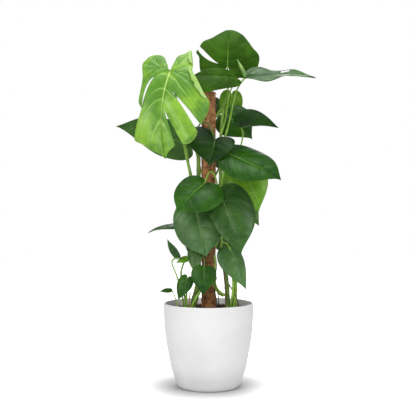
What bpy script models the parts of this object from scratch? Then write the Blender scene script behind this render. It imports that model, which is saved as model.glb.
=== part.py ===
import math

import bmesh
import bpy
import numpy as np
from mathutils import Vector

for old in list(bpy.data.objects):
    bpy.data.objects.remove(old, do_unlink=True)

# Pot
POT_HEIGHT = 0.282
POT_RIM_RADIUS = 0.150
POT_WALL = 0.0045
POT_FOOT_RADIUS = 0.098
POT_SIDES = 44
SOIL_LEVEL = 0.262
SOIL_GAP = 0.0004

# Climbing pole
POLE_RADIUS = 0.0245
POLE_TOP = 1.000
POLE_FOOT = 0.030

# Foliage
BLADE_THICKNESS = 0.0014
RIB_STEPS = 4
RIBS_PER_SIDE = 8
STALK_SIDES = 6

GREEN_DARK = (0.020, 0.085, 0.022, 1.0)
GREEN_MID = (0.045, 0.150, 0.035, 1.0)
GREEN_FRESH = (0.170, 0.360, 0.045, 1.0)
GREEN_GREY = (0.060, 0.150, 0.070, 1.0)
GREEN_STALK = (0.110, 0.240, 0.045, 1.0)


# Leaf surface.

# A blade is drawn flat first: x across, y along the midrib, stalk joint at
# y = 0, tip at y = 1. Then it is bent, twisted and set between its two ends.
BLADE = {
    "half": 0.46, "widest": 0.24, "lobe": 0.16, "lobeWidth": 1.0, "sinus": 0.03, "shoulder": 0.42,
    "tipWidth": 0.05, "tipLength": 0.16, "left": {}, "right": {}, "notch": 0.04,
    "sweep": 0.30, "ribs": ((0.0, 0.14, 0.5), (1.0, 0.14, 0.5)), "droop": 0.5, "tipDrop": 0.0, "fold": 0.15,
    "cup": 0.6, "curlLeft": 0.0, "curlRight": 0.0, "wave": 0.0, "waves": 2.0, "phase": 0.0,
    "twist": 0.0, "bow": 0.0, "lobeLift": 0.0, "round": 0.12, "splits": (),
}


def cubic(p0, p1, p2, p3, t):
    """Points of a cubic curve."""
    t = t[:, None]
    return (1 - t) ** 3 * p0 + 3 * (1 - t) ** 2 * t * p1 + 3 * (1 - t) * t * t * p2 + t ** 3 * p3


def half_outline(shape):
    """Margin of one half of a blade, with the share of its length at each point."""
    if "margin" in shape:
        points = smooth_path([(x, y, 0.0) for x, y in shape["margin"]], 320)[:, :2]
    else:
        t = np.linspace(0.0, 1.0, 160)
        half = shape["half"]
        widest = shape["widest"]
        lobe = shape["lobe"]
        side = np.array([half, widest])
        start = np.array([shape["sinus"], -1.3 * lobe])
        turn = np.array([half * shape["lobeWidth"], -1.15 * lobe])
        low = cubic(np.zeros(2), start, turn, side, t)
        up = np.array([half, widest + shape["shoulder"] * (1.0 - widest)])
        drip = np.array([shape["tipWidth"], 1.0 - shape["tipLength"]])
        high = cubic(side, up, drip, np.array([0.0, 1.0]), t)
        points = np.vstack([low, high[1:]])
    length = np.r_[0.0, np.cumsum(np.hypot(*np.diff(points, axis=0).T))]
    return points, length / length[-1]


def split_gap(cut, v):
    """Opening of a split (to the margin) or of a slot (closed at both ends)."""
    if cut is None:
        return np.zeros_like(v)
    start, end, width = cut[2], cut[3], cut[4]
    taper = cut[5] if len(cut) > 5 else 0.0
    run = np.clip((v - start) / (end - start), 0.0, 1.0)
    if end >= 1.0:
        return width * np.sqrt(run) * (1.0 - taper * run)
    return width * np.sqrt(np.clip(np.sin(np.pi * run), 0.0, None)) * (run > 1e-6) * (run < 1.0 - 1e-6)


def rib_marks(shape, ribs):
    """Places of the ribs along the margin, shared by both halves."""
    stops = [shape["notch"]] + sorted({c[1] for c in shape["splits"]}) + [1.0]
    marks = [shape["notch"]]
    for start, stop in zip(stops[:-1], stops[1:]):
        rows = max(1, int(round((stop - start) * ribs)))
        marks += list(start + (stop - start) * np.arange(1, rows + 1) / rows)
    return np.array(marks)


def blade_patches(shape, steps, ribs):
    """Flat patches between the splits: side, x, y."""
    v = np.linspace(0.0, 1.0, steps + 1)
    marks = rib_marks(shape, ribs)
    points, length = half_outline(shape)
    height = np.interp(marks, length, points[:, 1])
    roots = (np.clip(height - shape["sweep"], 0.0, None) / (1.0 - shape["sweep"])) ** 1.1
    if "roots" in shape:
        roots = np.interp(marks, [r[0] for r in shape["roots"]], [r[1] for r in shape["roots"]])
    roots[-1] = 1.0
    patches = []
    for side, key in ((-1, "left"), (1, "right")):
        half = dict(shape)
        half.update(shape[key])
        points, length = half_outline(half)
        cuts = sorted([c for c in shape["splits"] if c[0] == side], key=lambda c: c[1])
        stops = [(shape["notch"], None)] + [(c[1], c) for c in cuts] + [(1.0, None)]
        for (start, cut_a), (stop, cut_b) in zip(stops[:-1], stops[1:]):
            rows = np.where((marks > start - 1e-9) & (marks < stop + 1e-9))[0]
            q = ((marks[rows] - start) / (stop - start))[:, None]
            low = start + split_gap(cut_a, v) / 2.0
            high = stop - split_gap(cut_b, v) / 2.0
            w = low[None] * (1.0 - q) + high[None] * q
            round_off = np.zeros_like(w)
            for cut, end in ((cut_a, 0.0), (cut_b, 1.0)):
                if cut is not None and cut[3] >= 1.0:
                    near = np.clip(1.0 - np.abs(q - end) * 3.0, 0.0, 1.0) ** 2
                    round_off = np.maximum(round_off, shape["round"] * near)
            rib = v[None] * (1.0 - round_off * v[None] ** 3)
            mx = np.interp(w, length, points[:, 0])
            my = np.interp(w, length, points[:, 1])
            root = roots[rows][:, None]
            places = [r[0] for r in half["ribs"]]
            arch = np.interp(marks[rows], places, [r[1] for r in half["ribs"]])[:, None]
            flare = np.interp(marks[rows], places, [r[2] for r in half["ribs"]])[:, None]
            cy = root + arch * (my - root)
            x = 2.0 * (1.0 - rib) * rib * flare * mx + rib ** 2 * mx
            y = (1.0 - rib) ** 2 * root + 2.0 * (1.0 - rib) * rib * cy + rib ** 2 * my
            patches.append((side, x * side, y))
    return patches


def bend_blade(shape, x, y):
    """Bends flat blade points into space: z is the upper side."""
    along = np.linspace(-0.6, 1.05, 140)
    angle = -shape["droop"] * np.clip(along, 0.0, None)
    angle = angle - shape["tipDrop"] * np.clip((along - 0.65) / 0.35, 0.0, None) ** 2
    step = along[1] - along[0]
    run = np.r_[0.0, np.cumsum((np.cos(angle)[1:] + np.cos(angle)[:-1]) * step / 2.0)]
    rise = np.r_[0.0, np.cumsum((np.sin(angle)[1:] + np.sin(angle)[:-1]) * step / 2.0)]
    cy = np.interp(y, along, run) - np.interp(0.0, along, run)
    cz = np.interp(y, along, rise) - np.interp(0.0, along, rise)
    tilt = np.interp(y, along, angle)
    side = np.sign(x)
    out = np.abs(x) / shape["half"]
    curl = np.where(side < 0.0, shape["curlLeft"], shape["curlRight"])
    across = np.zeros_like(x)
    height = np.zeros_like(x)
    for i in range(12):
        part = out * (i + 0.5) / 12.0
        slope = shape["fold"] - (shape["cup"] + curl * part) * part
        across += np.cos(slope) * out / 12.0
        height += np.sin(slope) * out / 12.0
    across = across * shape["half"] * side
    height = height * shape["half"]
    ripple = np.sin(2.0 * np.pi * shape["waves"] * y + shape["phase"] + 1.3 * (side > 0.0))
    height = height + shape["wave"] * shape["half"] * out ** 2 * ripple
    height = height + shape["lobeLift"] * np.clip(-y, 0.0, None)
    turn = shape["twist"] * (y - 0.3)
    ax = across * np.cos(turn) - height * np.sin(turn)
    ah = across * np.sin(turn) + height * np.cos(turn)
    return np.stack([ax + shape["bow"] * y * y, cy - np.sin(tilt) * ah, cz + np.cos(tilt) * ah], -1)


def set_blade(shape, local):
    """Moves bent points so the joint and the tip land on their places."""
    base = np.array(shape["base"])
    tip = np.array(shape["tip"])
    end = bend_blade(shape, np.array([0.0]), np.array([1.0]))[0]
    size = np.linalg.norm(end)
    ly = end / size
    lz = np.array([0.0, 0.0, 1.0]) - ly * ly[2]
    lz = lz / np.linalg.norm(lz)
    q = local @ np.stack([np.cross(ly, lz), ly, lz]).T
    chord = np.linalg.norm(tip - base)
    ey = (tip - base) / chord
    face = np.array(shape["face"], float)
    ez = face - ey * (face @ ey)
    ez = ez / np.linalg.norm(ez)
    ex = np.cross(ey, ez)
    scale = chord / size
    return base + scale * (q[..., :1] * ex + q[..., 1:2] * ey + q[..., 2:3] * ez)


def blade_surface(spec, steps, ribs):
    """Points and faces of the middle surface of a blade."""
    shape = dict(BLADE)
    shape.update(spec)
    points = []
    faces = []
    index = {}
    for side, x, y in blade_patches(shape, steps, ribs):
        placed = set_blade(shape, bend_blade(shape, x, y))
        rows, cols = x.shape
        ids = np.zeros((rows, cols), int)
        for i in range(rows):
            for j in range(cols):
                key = (round(float(x[i, j]), 4), round(float(y[i, j]), 4))
                if key not in index:
                    index[key] = len(points)
                    points.append(placed[i, j])
                ids[i, j] = index[key]
        for i in range(rows - 1):
            for j in range(cols - 1):
                ring = [ids[i, j], ids[i, j + 1], ids[i + 1, j + 1], ids[i + 1, j]]
                if side < 0:
                    ring.reverse()
                face = [int(a) for k, a in enumerate(ring) if a not in ring[:k]]
                if len(face) > 2:
                    faces.append(face)
    return np.array(points), faces


# Leaves.

# Every leaf: joint, tip, direction its upper side faces, and the stalk's way
# from the stem or the soil to the joint. Left and right are seen walking from
# the joint to the tip on the upper side. Split: side, place along the margin,
# where it starts and ends on the rib (1 = open margin), width.
LEAVES = {
    "leaf_crown": {
        "base": (0.064, -0.005, 1.080), "tip": (0.070, 0.045, 1.218), "face": (0.0, -1.0, 0.35),
        "half": 0.70, "fold": 0.1, "cup": 0.3, "round": 0.03, "detail": 14,
        "roots": ((0.0, 0.0), (0.45, 0.0), (0.62, 0.04), (0.75, 0.30), (0.9, 0.70), (1.0, 1.0)),
        "ribs": ((0.0, 0.0, 0.55), (0.62, 0.0, 0.55), (1.0, 0.20, 0.5)),
        "left": {"margin": ((0.000, 0.000), (0.106, -0.160), (0.310, -0.260), (0.531, -0.230),
                            (0.619, -0.100), (0.650, 0.090), (0.668, 0.240), (0.752, 0.370),
                            (0.704, 0.470), (0.677, 0.530), (0.619, 0.610), (0.544, 0.665), (0.403, 0.720),
                            (0.261, 0.825), (0.142, 0.920), (0.053, 0.985), (0.000, 1.000))},
        "right": {"margin": ((0.000, 0.000), (0.106, -0.140), (0.310, -0.240), (0.531, -0.190),
                             (0.664, -0.020), (0.717, 0.130), (0.728, 0.275), (0.686, 0.385),
                             (0.571, 0.505), (0.451, 0.680), (0.332, 0.840), (0.190, 0.945), (0.080, 0.990),
                             (0.000, 1.000))},
        "splits": ((-1, 0.62, 0.28, 1.0, 0.20, 0.80),), "color": GREEN_DARK,
        "from": ("stem_rear", 0.880), "stalk": ((0.060, 0.050, 0.980), (0.067, 0.030, 1.050)),
        "radius": (0.0045, 0.0028),
    },
    "leaf_top_right": {
        "base": (0.132, -0.044, 1.044), "tip": (0.357, -0.062, 1.036), "face": (0.0, -0.50, 0.86),
        "half": 0.23, "widest": 0.40, "shoulder": 0.75, "lobe": 0.10, "twist": 0.35, "droop": 0.25,
        "wave": 0.16, "waves": 1.6, "phase": 0.6, "fold": 0.30, "cup": 0.45,
        "splits": ((-1, 0.68, 0.20, 0.83, 0.17),), "color": GREEN_MID,
        "from": ("stem_right", 0.790),
        "stalk": ((0.070, -0.040, 0.895), (0.090, -0.046, 0.985), (0.113, -0.044, 1.028)),
        "radius": (0.0045, 0.0028),
    },
    "leaf_fresh": {
        "base": (-0.125, -0.110, 1.051), "tip": (-0.138, -0.170, 0.758), "face": (-0.05, -0.97, 0.25),
        "half": 0.42, "droop": 0.6, "cup": 0.5, "bow": -0.24, "round": 0.03, "detail": 20,
        "roots": ((0.0, 0.0), (0.57, 0.0), (0.62, 0.02), (0.70, 0.20), (0.87, 0.43), (1.0, 1.0)),
        "left": {"margin": ((0.000, 0.000), (0.016, -0.067), (0.004, -0.166), (0.019, -0.222),
                            (0.076, -0.266), (0.110, -0.329), (0.159, -0.253), (0.215, -0.143),
                            (0.239, -0.058), (0.335, 0.034), (0.443, 0.161), (0.521, 0.232),
                            (0.530, 0.363), (0.483, 0.504), (0.445, 0.572), (0.420, 0.647), (0.333, 0.754),
                            (0.250, 0.802), (0.177, 0.830), (0.099, 0.874), (0.041, 0.934), (0.000, 1.000)),
                 "ribs": ((0.0, -0.10, 0.5), (0.70, 0.325, 0.47), (0.87, 0.42, 0.5), (1.0, 0.42, 0.5))},
        "right": {"margin": ((0.000, 0.000), (0.060, -0.069), (0.126, -0.150), (0.196, -0.166),
                             (0.283, -0.133), (0.320, -0.064), (0.331, 0.002), (0.273, 0.170),
                             (0.264, 0.312), (0.270, 0.467), (0.247, 0.530), (0.218, 0.573), (0.212, 0.601),
                             (0.238, 0.676), (0.280, 0.778), (0.338, 0.878), (0.242, 0.907), (0.122, 0.945),
                             (0.037, 0.961), (0.000, 1.000)),
                  "ribs": ((0.0, -0.10, 0.5), (0.62, -0.10, 0.88), (0.75, 0.10, 0.6), (1.0, 0.30, 0.5))},
        "splits": ((1, 0.617, 0.52, 1.0, 0.100, 0.70), (-1, 0.70, 0.23, 1.0, 0.062, 0.25),
                   (-1, 0.87, 0.20, 1.0, 0.055, 0.15)), "color": GREEN_FRESH,
        "from": ("stem_left", 0.640),
        "stalk": ((-0.060, -0.035, 0.715), (-0.088, -0.060, 0.850), (-0.110, -0.080, 0.980)),
        "radius": (0.0066, 0.0035),
    },
    "leaf_under_crown": {
        "base": (0.097, -0.060, 1.032), "tip": (-0.050, -0.098, 1.036), "face": (0.05, -0.85, 0.52),
        "half": 0.40, "fold": 0.2, "cup": 0.4, "detail": 12,
        "left": {"margin": ((0.0, 0.0), (0.05, -0.06), (0.14, -0.05), (0.26, 0.08), (0.34, 0.30),
                            (0.42, 0.58), (0.47, 0.78), (0.36, 0.88), (0.14, 0.92), (0.0, 1.0))},
        "right": {"margin": ((0.0, 0.0), (0.04, -0.05), (0.10, -0.04), (0.17, 0.10), (0.19, 0.35),
                             (0.17, 0.60), (0.10, 0.82), (0.04, 0.94), (0.0, 1.0))},
        "color": GREEN_DARK,
        "from": ("stem_right", 0.850), "stalk": ((0.056, -0.046, 0.900), (0.070, -0.062, 0.985)),
        "radius": (0.0035, 0.0025),
    },
    "leaf_left_olive": {
        "base": (-0.078, 0.000, 0.822), "tip": (-0.320, 0.040, 0.885), "face": (0.15, 0.75, 0.60),
        "half": 0.32, "widest": 0.30, "color": GREEN_MID,
        "from": ("stem_left", 0.600), "stalk": ((-0.062, 0.006, 0.700), (-0.070, 0.010, 0.780)),
        "radius": (0.0045, 0.0028),
    },
    "leaf_centre_dark": {
        "base": (0.022, -0.075, 0.828), "tip": (0.004, -0.120, 0.738), "face": (0.05, -0.80, 0.60),
        "half": 0.90, "widest": 0.12, "lobe": 0.30, "fold": 0.35, "cup": 0.4, "shoulder": 0.55,
        "right": {"half": 0.98, "lobe": 0.42}, "left": {"half": 0.66, "lobe": 0.16}, "color": GREEN_DARK,
        "splits": ((1, 0.70, 0.50, 0.83, 0.05),),
        "from": ("stem_left", 0.790), "stalk": ((-0.036, -0.050, 0.870), (-0.004, -0.060, 0.885)),
        "radius": (0.0040, 0.0025),
    },
    "leaf_back_lit": {
        "base": (0.080, 0.068, 1.000), "tip": (0.072, 0.104, 0.890), "face": (0.1, 0.95, 0.35),
        "half": 0.36, "color": GREEN_FRESH,
        "from": ("stem_rear", 0.850), "stalk": ((0.040, 0.056, 0.930), (0.068, 0.062, 0.985)),
        "radius": (0.0035, 0.0022),
    },
    "leaf_dark_behind": {
        "base": (0.064, 0.038, 0.925), "tip": (0.150, 0.020, 0.838), "face": (0.1, -0.90, 0.35),
        "half": 0.56, "color": GREEN_DARK,
        "from": ("stem_rear", 0.760), "stalk": ((0.040, 0.052, 0.850), (0.058, 0.050, 0.905)),
        "radius": (0.0035, 0.0022),
    },
    "leaf_right_mid": {
        "base": (0.108, -0.060, 0.872), "tip": (0.232, -0.075, 0.868), "face": (0.0, -0.60, 0.80),
        "half": 0.53, "widest": 0.15, "fold": 0.60, "cup": 0.25, "lobe": 0.22, "color": GREEN_DARK,
        "from": ("stem_right", 0.700),
        "stalk": ((0.076, -0.016, 0.755), (0.106, -0.024, 0.806), (0.114, -0.046, 0.848)),
        "radius": (0.0040, 0.0028),
    },
    "leaf_right_small": {
        "base": (0.074, 0.006, 0.806), "tip": (0.140, 0.014, 0.784), "face": (0.0, -0.75, 0.65),
        "half": 0.40, "color": GREEN_DARK,
        "from": ("stem_right", 0.740), "stalk": ((0.062, -0.006, 0.780),), "radius": (0.0030, 0.0020),
    },
    "leaf_right_glossy": {
        "base": (0.070, -0.095, 0.780), "tip": (0.236, -0.120, 0.692), "face": (0.05, -0.70, 0.70),
        "half": 0.43, "widest": 0.34, "shoulder": 0.6, "droop": 0.3, "tipDrop": 0.6, "lobe": 0.15,
        "bow": -0.12,
        "color": GREEN_DARK,
        "from": ("stem_right", 0.640), "stalk": ((0.046, -0.065, 0.700), (0.058, -0.085, 0.765)),
        "radius": (0.0045, 0.0028),
    },
    "leaf_right_fresh": {
        "base": (0.126, -0.035, 0.730), "tip": (0.166, -0.062, 0.588), "face": (0.15, -0.95, 0.25),
        "half": 0.50, "widest": 0.2, "left": {"half": 0.44}, "right": {"half": 0.64},
        "splits": ((-1, 0.52, 0.50, 0.83, 0.06),), "color": GREEN_FRESH,
        "from": ("stem_right", 0.560), "stalk": ((0.080, -0.020, 0.660), (0.114, -0.022, 0.715)),
        "radius": (0.0045, 0.0028),
    },
    "leaf_front_heart": {
        "base": (-0.014, -0.110, 0.683), "tip": (-0.102, -0.180, 0.588), "face": (-0.10, -0.85, 0.50),
        "half": 0.62, "widest": 0.2, "lobe": 0.20, "shoulder": 0.6, "bow": -0.06,
        "right": {"half": 0.43, "shoulder": 0.8, "lobe": 0.14}, "left": {"half": 0.62, "shoulder": 0.75},
        "color": GREEN_DARK,
        "from": ("stem_right", 0.590), "stalk": ((0.024, -0.070, 0.700), (0.004, -0.092, 0.722)),
        "radius": (0.0045, 0.0026),
    },
    "leaf_front_right": {
        "base": (0.037, -0.092, 0.652), "tip": (0.105, -0.142, 0.453), "face": (0.10, -0.95, 0.30),
        "half": 0.40, "widest": 0.28, "shoulder": 0.6, "right": {"half": 0.27}, "left": {"half": 0.45},
        "color": GREEN_GREY,
        "from": ("stem_right", 0.480), "stalk": ((0.045, -0.066, 0.590),), "radius": (0.0050, 0.0030),
    },
    "leaf_front_left": {
        "base": (-0.047, -0.065, 0.610), "tip": (-0.007, -0.110, 0.441), "face": (-0.05, -0.95, 0.30),
        "half": 0.48, "widest": 0.30, "shoulder": 0.75, "right": {"half": 0.46}, "left": {"half": 0.46},
        "color": GREEN_GREY,
        "from": ("stem_left", 0.440), "stalk": ((-0.052, -0.040, 0.560),), "radius": (0.0050, 0.0030),
    },
    "leaf_left_point": {
        "base": (-0.078, -0.010, 0.548), "tip": (-0.203, -0.040, 0.520), "face": (0.0, -0.15, 1.0),
        "half": 0.36, "color": GREEN_DARK,
        "from": ("stem_left", 0.410), "stalk": ((-0.056, -0.008, 0.500),), "radius": (0.0035, 0.0022),
    },
    "leaf_low_right": {
        "base": (0.073, -0.080, 0.465), "tip": (0.121, -0.115, 0.337), "face": (0.25, -0.92, 0.30),
        "half": 0.40, "widest": 0.22, "right": {"half": 0.40}, "left": {"half": 0.20}, "color": GREEN_MID,
        "from": ("stem_right", 0.430), "stalk": ((0.042, -0.062, 0.485), (0.060, -0.072, 0.485)),
        "radius": (0.0035, 0.0024),
    },
    "leaf_low_heart": {
        "base": (-0.015, -0.100, 0.408), "tip": (-0.018, -0.116, 0.318), "face": (0.0, -0.95, 0.30),
        "half": 0.46, "widest": 0.24, "lobe": 0.12, "color": GREEN_DARK,
        "from": ("stem_left", 0.360), "stalk": ((-0.026, -0.080, 0.430), (-0.014, -0.092, 0.438)),
        "radius": (0.0030, 0.0020),
    },
    "leaf_behind_right": {
        "base": (0.104, -0.002, 0.650), "tip": (0.172, 0.020, 0.541), "face": (0.40, -0.90, 0.20),
        "half": 0.32, "color": GREEN_GREY,
        "stalk": ((0.084, -0.046, 0.245), (0.090, -0.044, 0.350), (0.094, -0.020, 0.500),
            (0.100, -0.004, 0.610)),
        "radius": (0.0098, 0.0028),
    },
    "leaf_low_grey": {
        "base": (-0.040, -0.036, 0.474), "tip": (-0.048, -0.060, 0.388), "face": (-0.30, -0.90, 0.20),
        "half": 0.34, "color": GREEN_GREY,
        "from": ("stem_left", 0.395), "stalk": ((-0.046, -0.030, 0.450),), "radius": (0.0030, 0.0020),
    },
    "leaf_young_tall": {
        "base": (-0.100, -0.040, 0.436), "tip": (-0.138, -0.045, 0.499), "face": (-0.50, -0.80, 0.20),
        "half": 0.19, "widest": 0.35, "lobe": 0.05, "fold": 0.3, "color": GREEN_GREY,
        "stalk": ((-0.074, -0.040, 0.245), (-0.102, -0.045, 0.362), (-0.122, -0.048, 0.418),
                  (-0.114, -0.044, 0.434)),
        "radius": (0.0040, 0.0023),
    },
    "leaf_young_left": {
        "base": (-0.070, -0.030, 0.436), "tip": (-0.108, -0.042, 0.418), "face": (-0.20, -0.70, 0.70),
        "half": 0.36, "widest": 0.3, "lobe": 0.10, "color": GREEN_MID,
        "stalk": ((-0.066, -0.022, 0.245), (-0.092, -0.024, 0.361), (-0.086, -0.024, 0.412)),
        "radius": (0.0048, 0.0032),
    },
    "leaf_young_low": {
        "base": (-0.070, -0.090, 0.373), "tip": (-0.099, -0.105, 0.302), "face": (-0.20, -0.95, 0.30),
        "half": 0.34, "color": GREEN_DARK,
        "stalk": ((-0.074, -0.066, 0.245), (-0.072, -0.078, 0.340)), "radius": (0.0050, 0.0028),
    },
    "leaf_young_tiny": {
        "base": (-0.123, -0.050, 0.330), "tip": (-0.163, -0.056, 0.324), "face": (-0.10, -0.60, 0.80),
        "half": 0.30, "widest": 0.35, "lobe": 0.08, "color": GREEN_DARK,
        "stalk": ((-0.092, -0.056, 0.245), (-0.111, -0.052, 0.304)), "radius": (0.0026, 0.0019),
    },
    "leaf_rear_top": {
        "base": (-0.006, 0.098, 0.986), "tip": (-0.002, 0.195, 0.898), "face": (0.10, 0.75, 0.65),
        "half": 0.46, "color": GREEN_DARK,
        "from": ("stem_rear", 0.820), "stalk": ((0.000, 0.062, 0.905), (0.000, 0.080, 0.965)),
        "radius": (0.0045, 0.0026),
    },
    "leaf_rear_left": {
        "base": (-0.055, 0.075, 0.842), "tip": (-0.118, 0.190, 0.798), "face": (-0.10, 0.40, 0.92),
        "half": 0.44, "splits": ((-1, 0.62, 0.40, 1.0, 0.05), (1, 0.66, 0.40, 1.0, 0.05)),
        "color": GREEN_MID,
        "from": ("stem_rear", 0.640), "stalk": ((-0.030, 0.062, 0.745),), "radius": (0.0050, 0.0028),
    },
    "leaf_rear_right": {
        "base": (0.060, 0.080, 0.800), "tip": (0.115, 0.190, 0.690), "face": (0.30, 0.75, 0.60),
        "half": 0.44, "splits": ((1, 0.58, 0.45, 1.0, 0.05),), "color": GREEN_DARK,
        "from": ("stem_rear", 0.670), "stalk": ((0.038, 0.060, 0.745),), "radius": (0.0045, 0.0028),
    },
    "leaf_rear_middle": {
        "base": (0.000, 0.100, 0.670), "tip": (-0.006, 0.200, 0.510), "face": (0.0, 0.85, 0.50),
        "half": 0.45, "color": GREEN_DARK,
        "from": ("stem_rear", 0.540), "stalk": ((0.002, 0.070, 0.630),), "radius": (0.0045, 0.0028),
    },
    "leaf_rear_low_right": {
        "base": (0.050, 0.080, 0.520), "tip": (0.090, 0.160, 0.400), "face": (0.35, 0.85, 0.40),
        "half": 0.42, "color": GREEN_GREY,
        "from": ("stem_rear", 0.420), "stalk": ((0.030, 0.060, 0.480),), "radius": (0.0040, 0.0024),
    },
    "leaf_rear_low_left": {
        "base": (-0.026, 0.085, 0.500), "tip": (-0.044, 0.155, 0.400), "face": (-0.15, 0.90, 0.42),
        "half": 0.42, "color": GREEN_MID,
        "from": ("stem_rear", 0.370), "stalk": ((-0.018, 0.062, 0.440),), "radius": (0.0040, 0.0024),
    },
}

# Stems, sheaths and roots.

BROWN_ROOT = (0.120, 0.060, 0.030, 1.0)
YELLOW_SHEATH = (0.380, 0.400, 0.070, 1.0)

STEMS = {
    "stem_right": {
        "path": ((0.064, -0.030, 0.225), (0.062, -0.034, 0.330), (0.052, -0.036, 0.420),
                 (0.041, -0.031, 0.500), (0.040, -0.030, 0.700), (0.042, -0.028, 0.860),
                 (0.050, -0.020, 0.935)),
        "radius": (0.0094, 0.0050), "color": GREEN_STALK,
    },
    "stem_left": {
        "path": ((-0.056, -0.048, 0.225), (-0.050, -0.050, 0.290), (-0.035, -0.030, 0.350),
                 (-0.034, -0.018, 0.420), (-0.034, -0.010, 0.600), (-0.034, -0.008, 0.820)),
        "radius": (0.0105, 0.0072), "color": GREEN_STALK,
    },
    "stem_rear": {
        "path": ((0.004, 0.060, 0.225), (0.002, 0.044, 0.320), (0.000, 0.035, 0.420), (0.000, 0.034, 0.700),
                 (0.002, 0.034, 0.880), (0.010, 0.030, 0.960)),
        "radius": (0.0080, 0.0050), "color": GREEN_STALK,
    },
    "sheath_curled": {
        "path": ((0.019, -0.068, 0.450), (0.024, -0.070, 0.413), (0.018, -0.070, 0.374),
                 (0.022, -0.068, 0.345), (0.036, -0.064, 0.323), (0.053, -0.058, 0.312)),
        "radius": (0.0042, 0.0076), "color": YELLOW_SHEATH,
    },
    "sheath_left": {
        "path": ((-0.022, -0.086, 0.352), (-0.028, -0.090, 0.330), (-0.042, -0.093, 0.304),
                 (-0.053, -0.090, 0.275), (-0.056, -0.086, 0.240)),
        "radius": (0.0045, 0.0080), "color": GREEN_STALK,
    },
    "sheath_broad": {
        "path": ((0.080, -0.074, 0.380), (0.082, -0.080, 0.340), (0.079, -0.080, 0.290),
                 (0.075, -0.076, 0.240)),
        "radius": (0.0042, 0.0105), "color": GREEN_STALK,
    },
    "sheath_dry": {
        "path": ((-0.062, -0.074, 0.245), (-0.064, -0.072, 0.290), (-0.061, -0.068, 0.325)),
        "radius": (0.0042, 0.0020), "color": YELLOW_SHEATH,
    },
    "leaf_rolled": {
        "path": ((0.122, -0.068, 1.036), (0.113, -0.066, 1.058), (0.103, -0.058, 1.080),
                 (0.096, -0.052, 1.098)),
        "radius": (0.0100, 0.0012), "color": GREEN_FRESH,
    },
    "root_right": {
        "path": ((0.068, -0.048, 0.348), (0.084, -0.058, 0.322), (0.097, -0.060, 0.292),
                 (0.101, -0.056, 0.240)),
        "radius": (0.0022, 0.0016), "color": BROWN_ROOT,
    },
    "root_front": {
        "path": ((0.046, -0.050, 0.420), (0.054, -0.076, 0.370), (0.056, -0.086, 0.300),
                 (0.054, -0.088, 0.240)),
        "radius": (0.0020, 0.0015), "color": BROWN_ROOT,
    },
    "root_centre": {
        "path": ((0.026, -0.040, 0.372), (0.020, -0.046, 0.335), (0.026, -0.050, 0.290),
                 (0.024, -0.052, 0.240)),
        "radius": (0.0024, 0.0018), "color": BROWN_ROOT,
    },
    "root_left": {
        "path": ((-0.030, -0.044, 0.336), (-0.034, -0.062, 0.310), (-0.042, -0.072, 0.280),
                 (-0.044, -0.074, 0.240)),
        "radius": (0.0030, 0.0020), "color": BROWN_ROOT,
    },
    "root_rear": {
        "path": ((0.012, 0.044, 0.350), (0.026, 0.056, 0.330), (0.034, 0.066, 0.290),
                 (0.032, 0.070, 0.240)),
        "radius": (0.0022, 0.0016), "color": BROWN_ROOT,
    },
}


def smooth_path(stations, count):
    """Even points along a smooth curve through the stations."""
    p = np.array(stations, float)
    if len(p) == 2:
        p = np.vstack([p[0], p.mean(0), p[1]])
    ends = np.vstack([2.0 * p[0] - p[1], p, 2.0 * p[-1] - p[-2]])
    fine = []
    for i in range(1, len(ends) - 2):
        a, b, c, d = ends[i - 1], ends[i], ends[i + 1], ends[i + 2]
        for t in np.linspace(0.0, 1.0, 12, endpoint=False):
            fine.append(0.5 * (2.0 * b + (c - a) * t + (2.0 * a - 5.0 * b + 4.0 * c - d) * t * t
                               + (3.0 * b - a - 3.0 * c + d) * t ** 3))
    fine.append(p[-1])
    fine = np.array(fine)
    length = np.r_[0.0, np.cumsum(np.linalg.norm(np.diff(fine, axis=0), axis=1))]
    at = np.linspace(0.0, length[-1], count)
    return np.stack([np.interp(at, length, fine[:, k]) for k in range(3)], -1)


def stalk_path(leaf):
    """Stalk of a leaf: from the middle of its stem, or from the soil, to the joint."""
    stations = list(leaf["stalk"]) + [leaf["base"]]
    if "from" in leaf:
        stem, height = leaf["from"]
        line = smooth_path(STEMS[stem]["path"], 80)
        start = tuple(np.interp(height, line[:, 2], line[:, k]) for k in range(3))
        stations = [start] + stations
    return smooth_path(stations, 3 + 2 * len(stations))


# Objects.

def add_object(name, points, faces, color, roughness, smooth):
    """One named object with its own material."""
    mesh = bpy.data.meshes.new(name)
    mesh.from_pydata([tuple(float(c) for c in p) for p in points], [], faces)
    mesh.validate()
    for poly in mesh.polygons:
        poly.use_smooth = smooth
    obj = bpy.data.objects.new(name, mesh)
    bpy.context.scene.collection.objects.link(obj)
    if color is not None:
        material = bpy.data.materials.new("mat_" + name)
        material.use_nodes = True
        shader = material.node_tree.nodes["Principled BSDF"]
        shader.inputs["Base Color"].default_value = color
        shader.inputs["Roughness"].default_value = roughness
        shader.inputs["Metallic"].default_value = 0.0
        mesh.materials.append(material)
    return obj


def combine(target, other, operation):
    """Joins or cuts with another object and keeps the result as plain mesh."""
    tool = target.modifiers.new("tool", "BOOLEAN")
    tool.operation = operation
    tool.solver = "EXACT"
    tool.object = other
    graph = bpy.context.evaluated_depsgraph_get()
    result = bpy.data.meshes.new_from_object(target.evaluated_get(graph))
    target.modifiers.clear()
    target.data = result


def tidy(obj):
    """Merges coincident corners left by joining."""
    bm = bmesh.new()
    bm.from_mesh(obj.data)
    bmesh.ops.remove_doubles(bm, verts=bm.verts, dist=0.00002)
    bmesh.ops.dissolve_degenerate(bm, dist=0.00002, edges=bm.edges)
    bm.to_mesh(obj.data)
    bm.free()
    for poly in obj.data.polygons:
        poly.use_smooth = True


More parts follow.
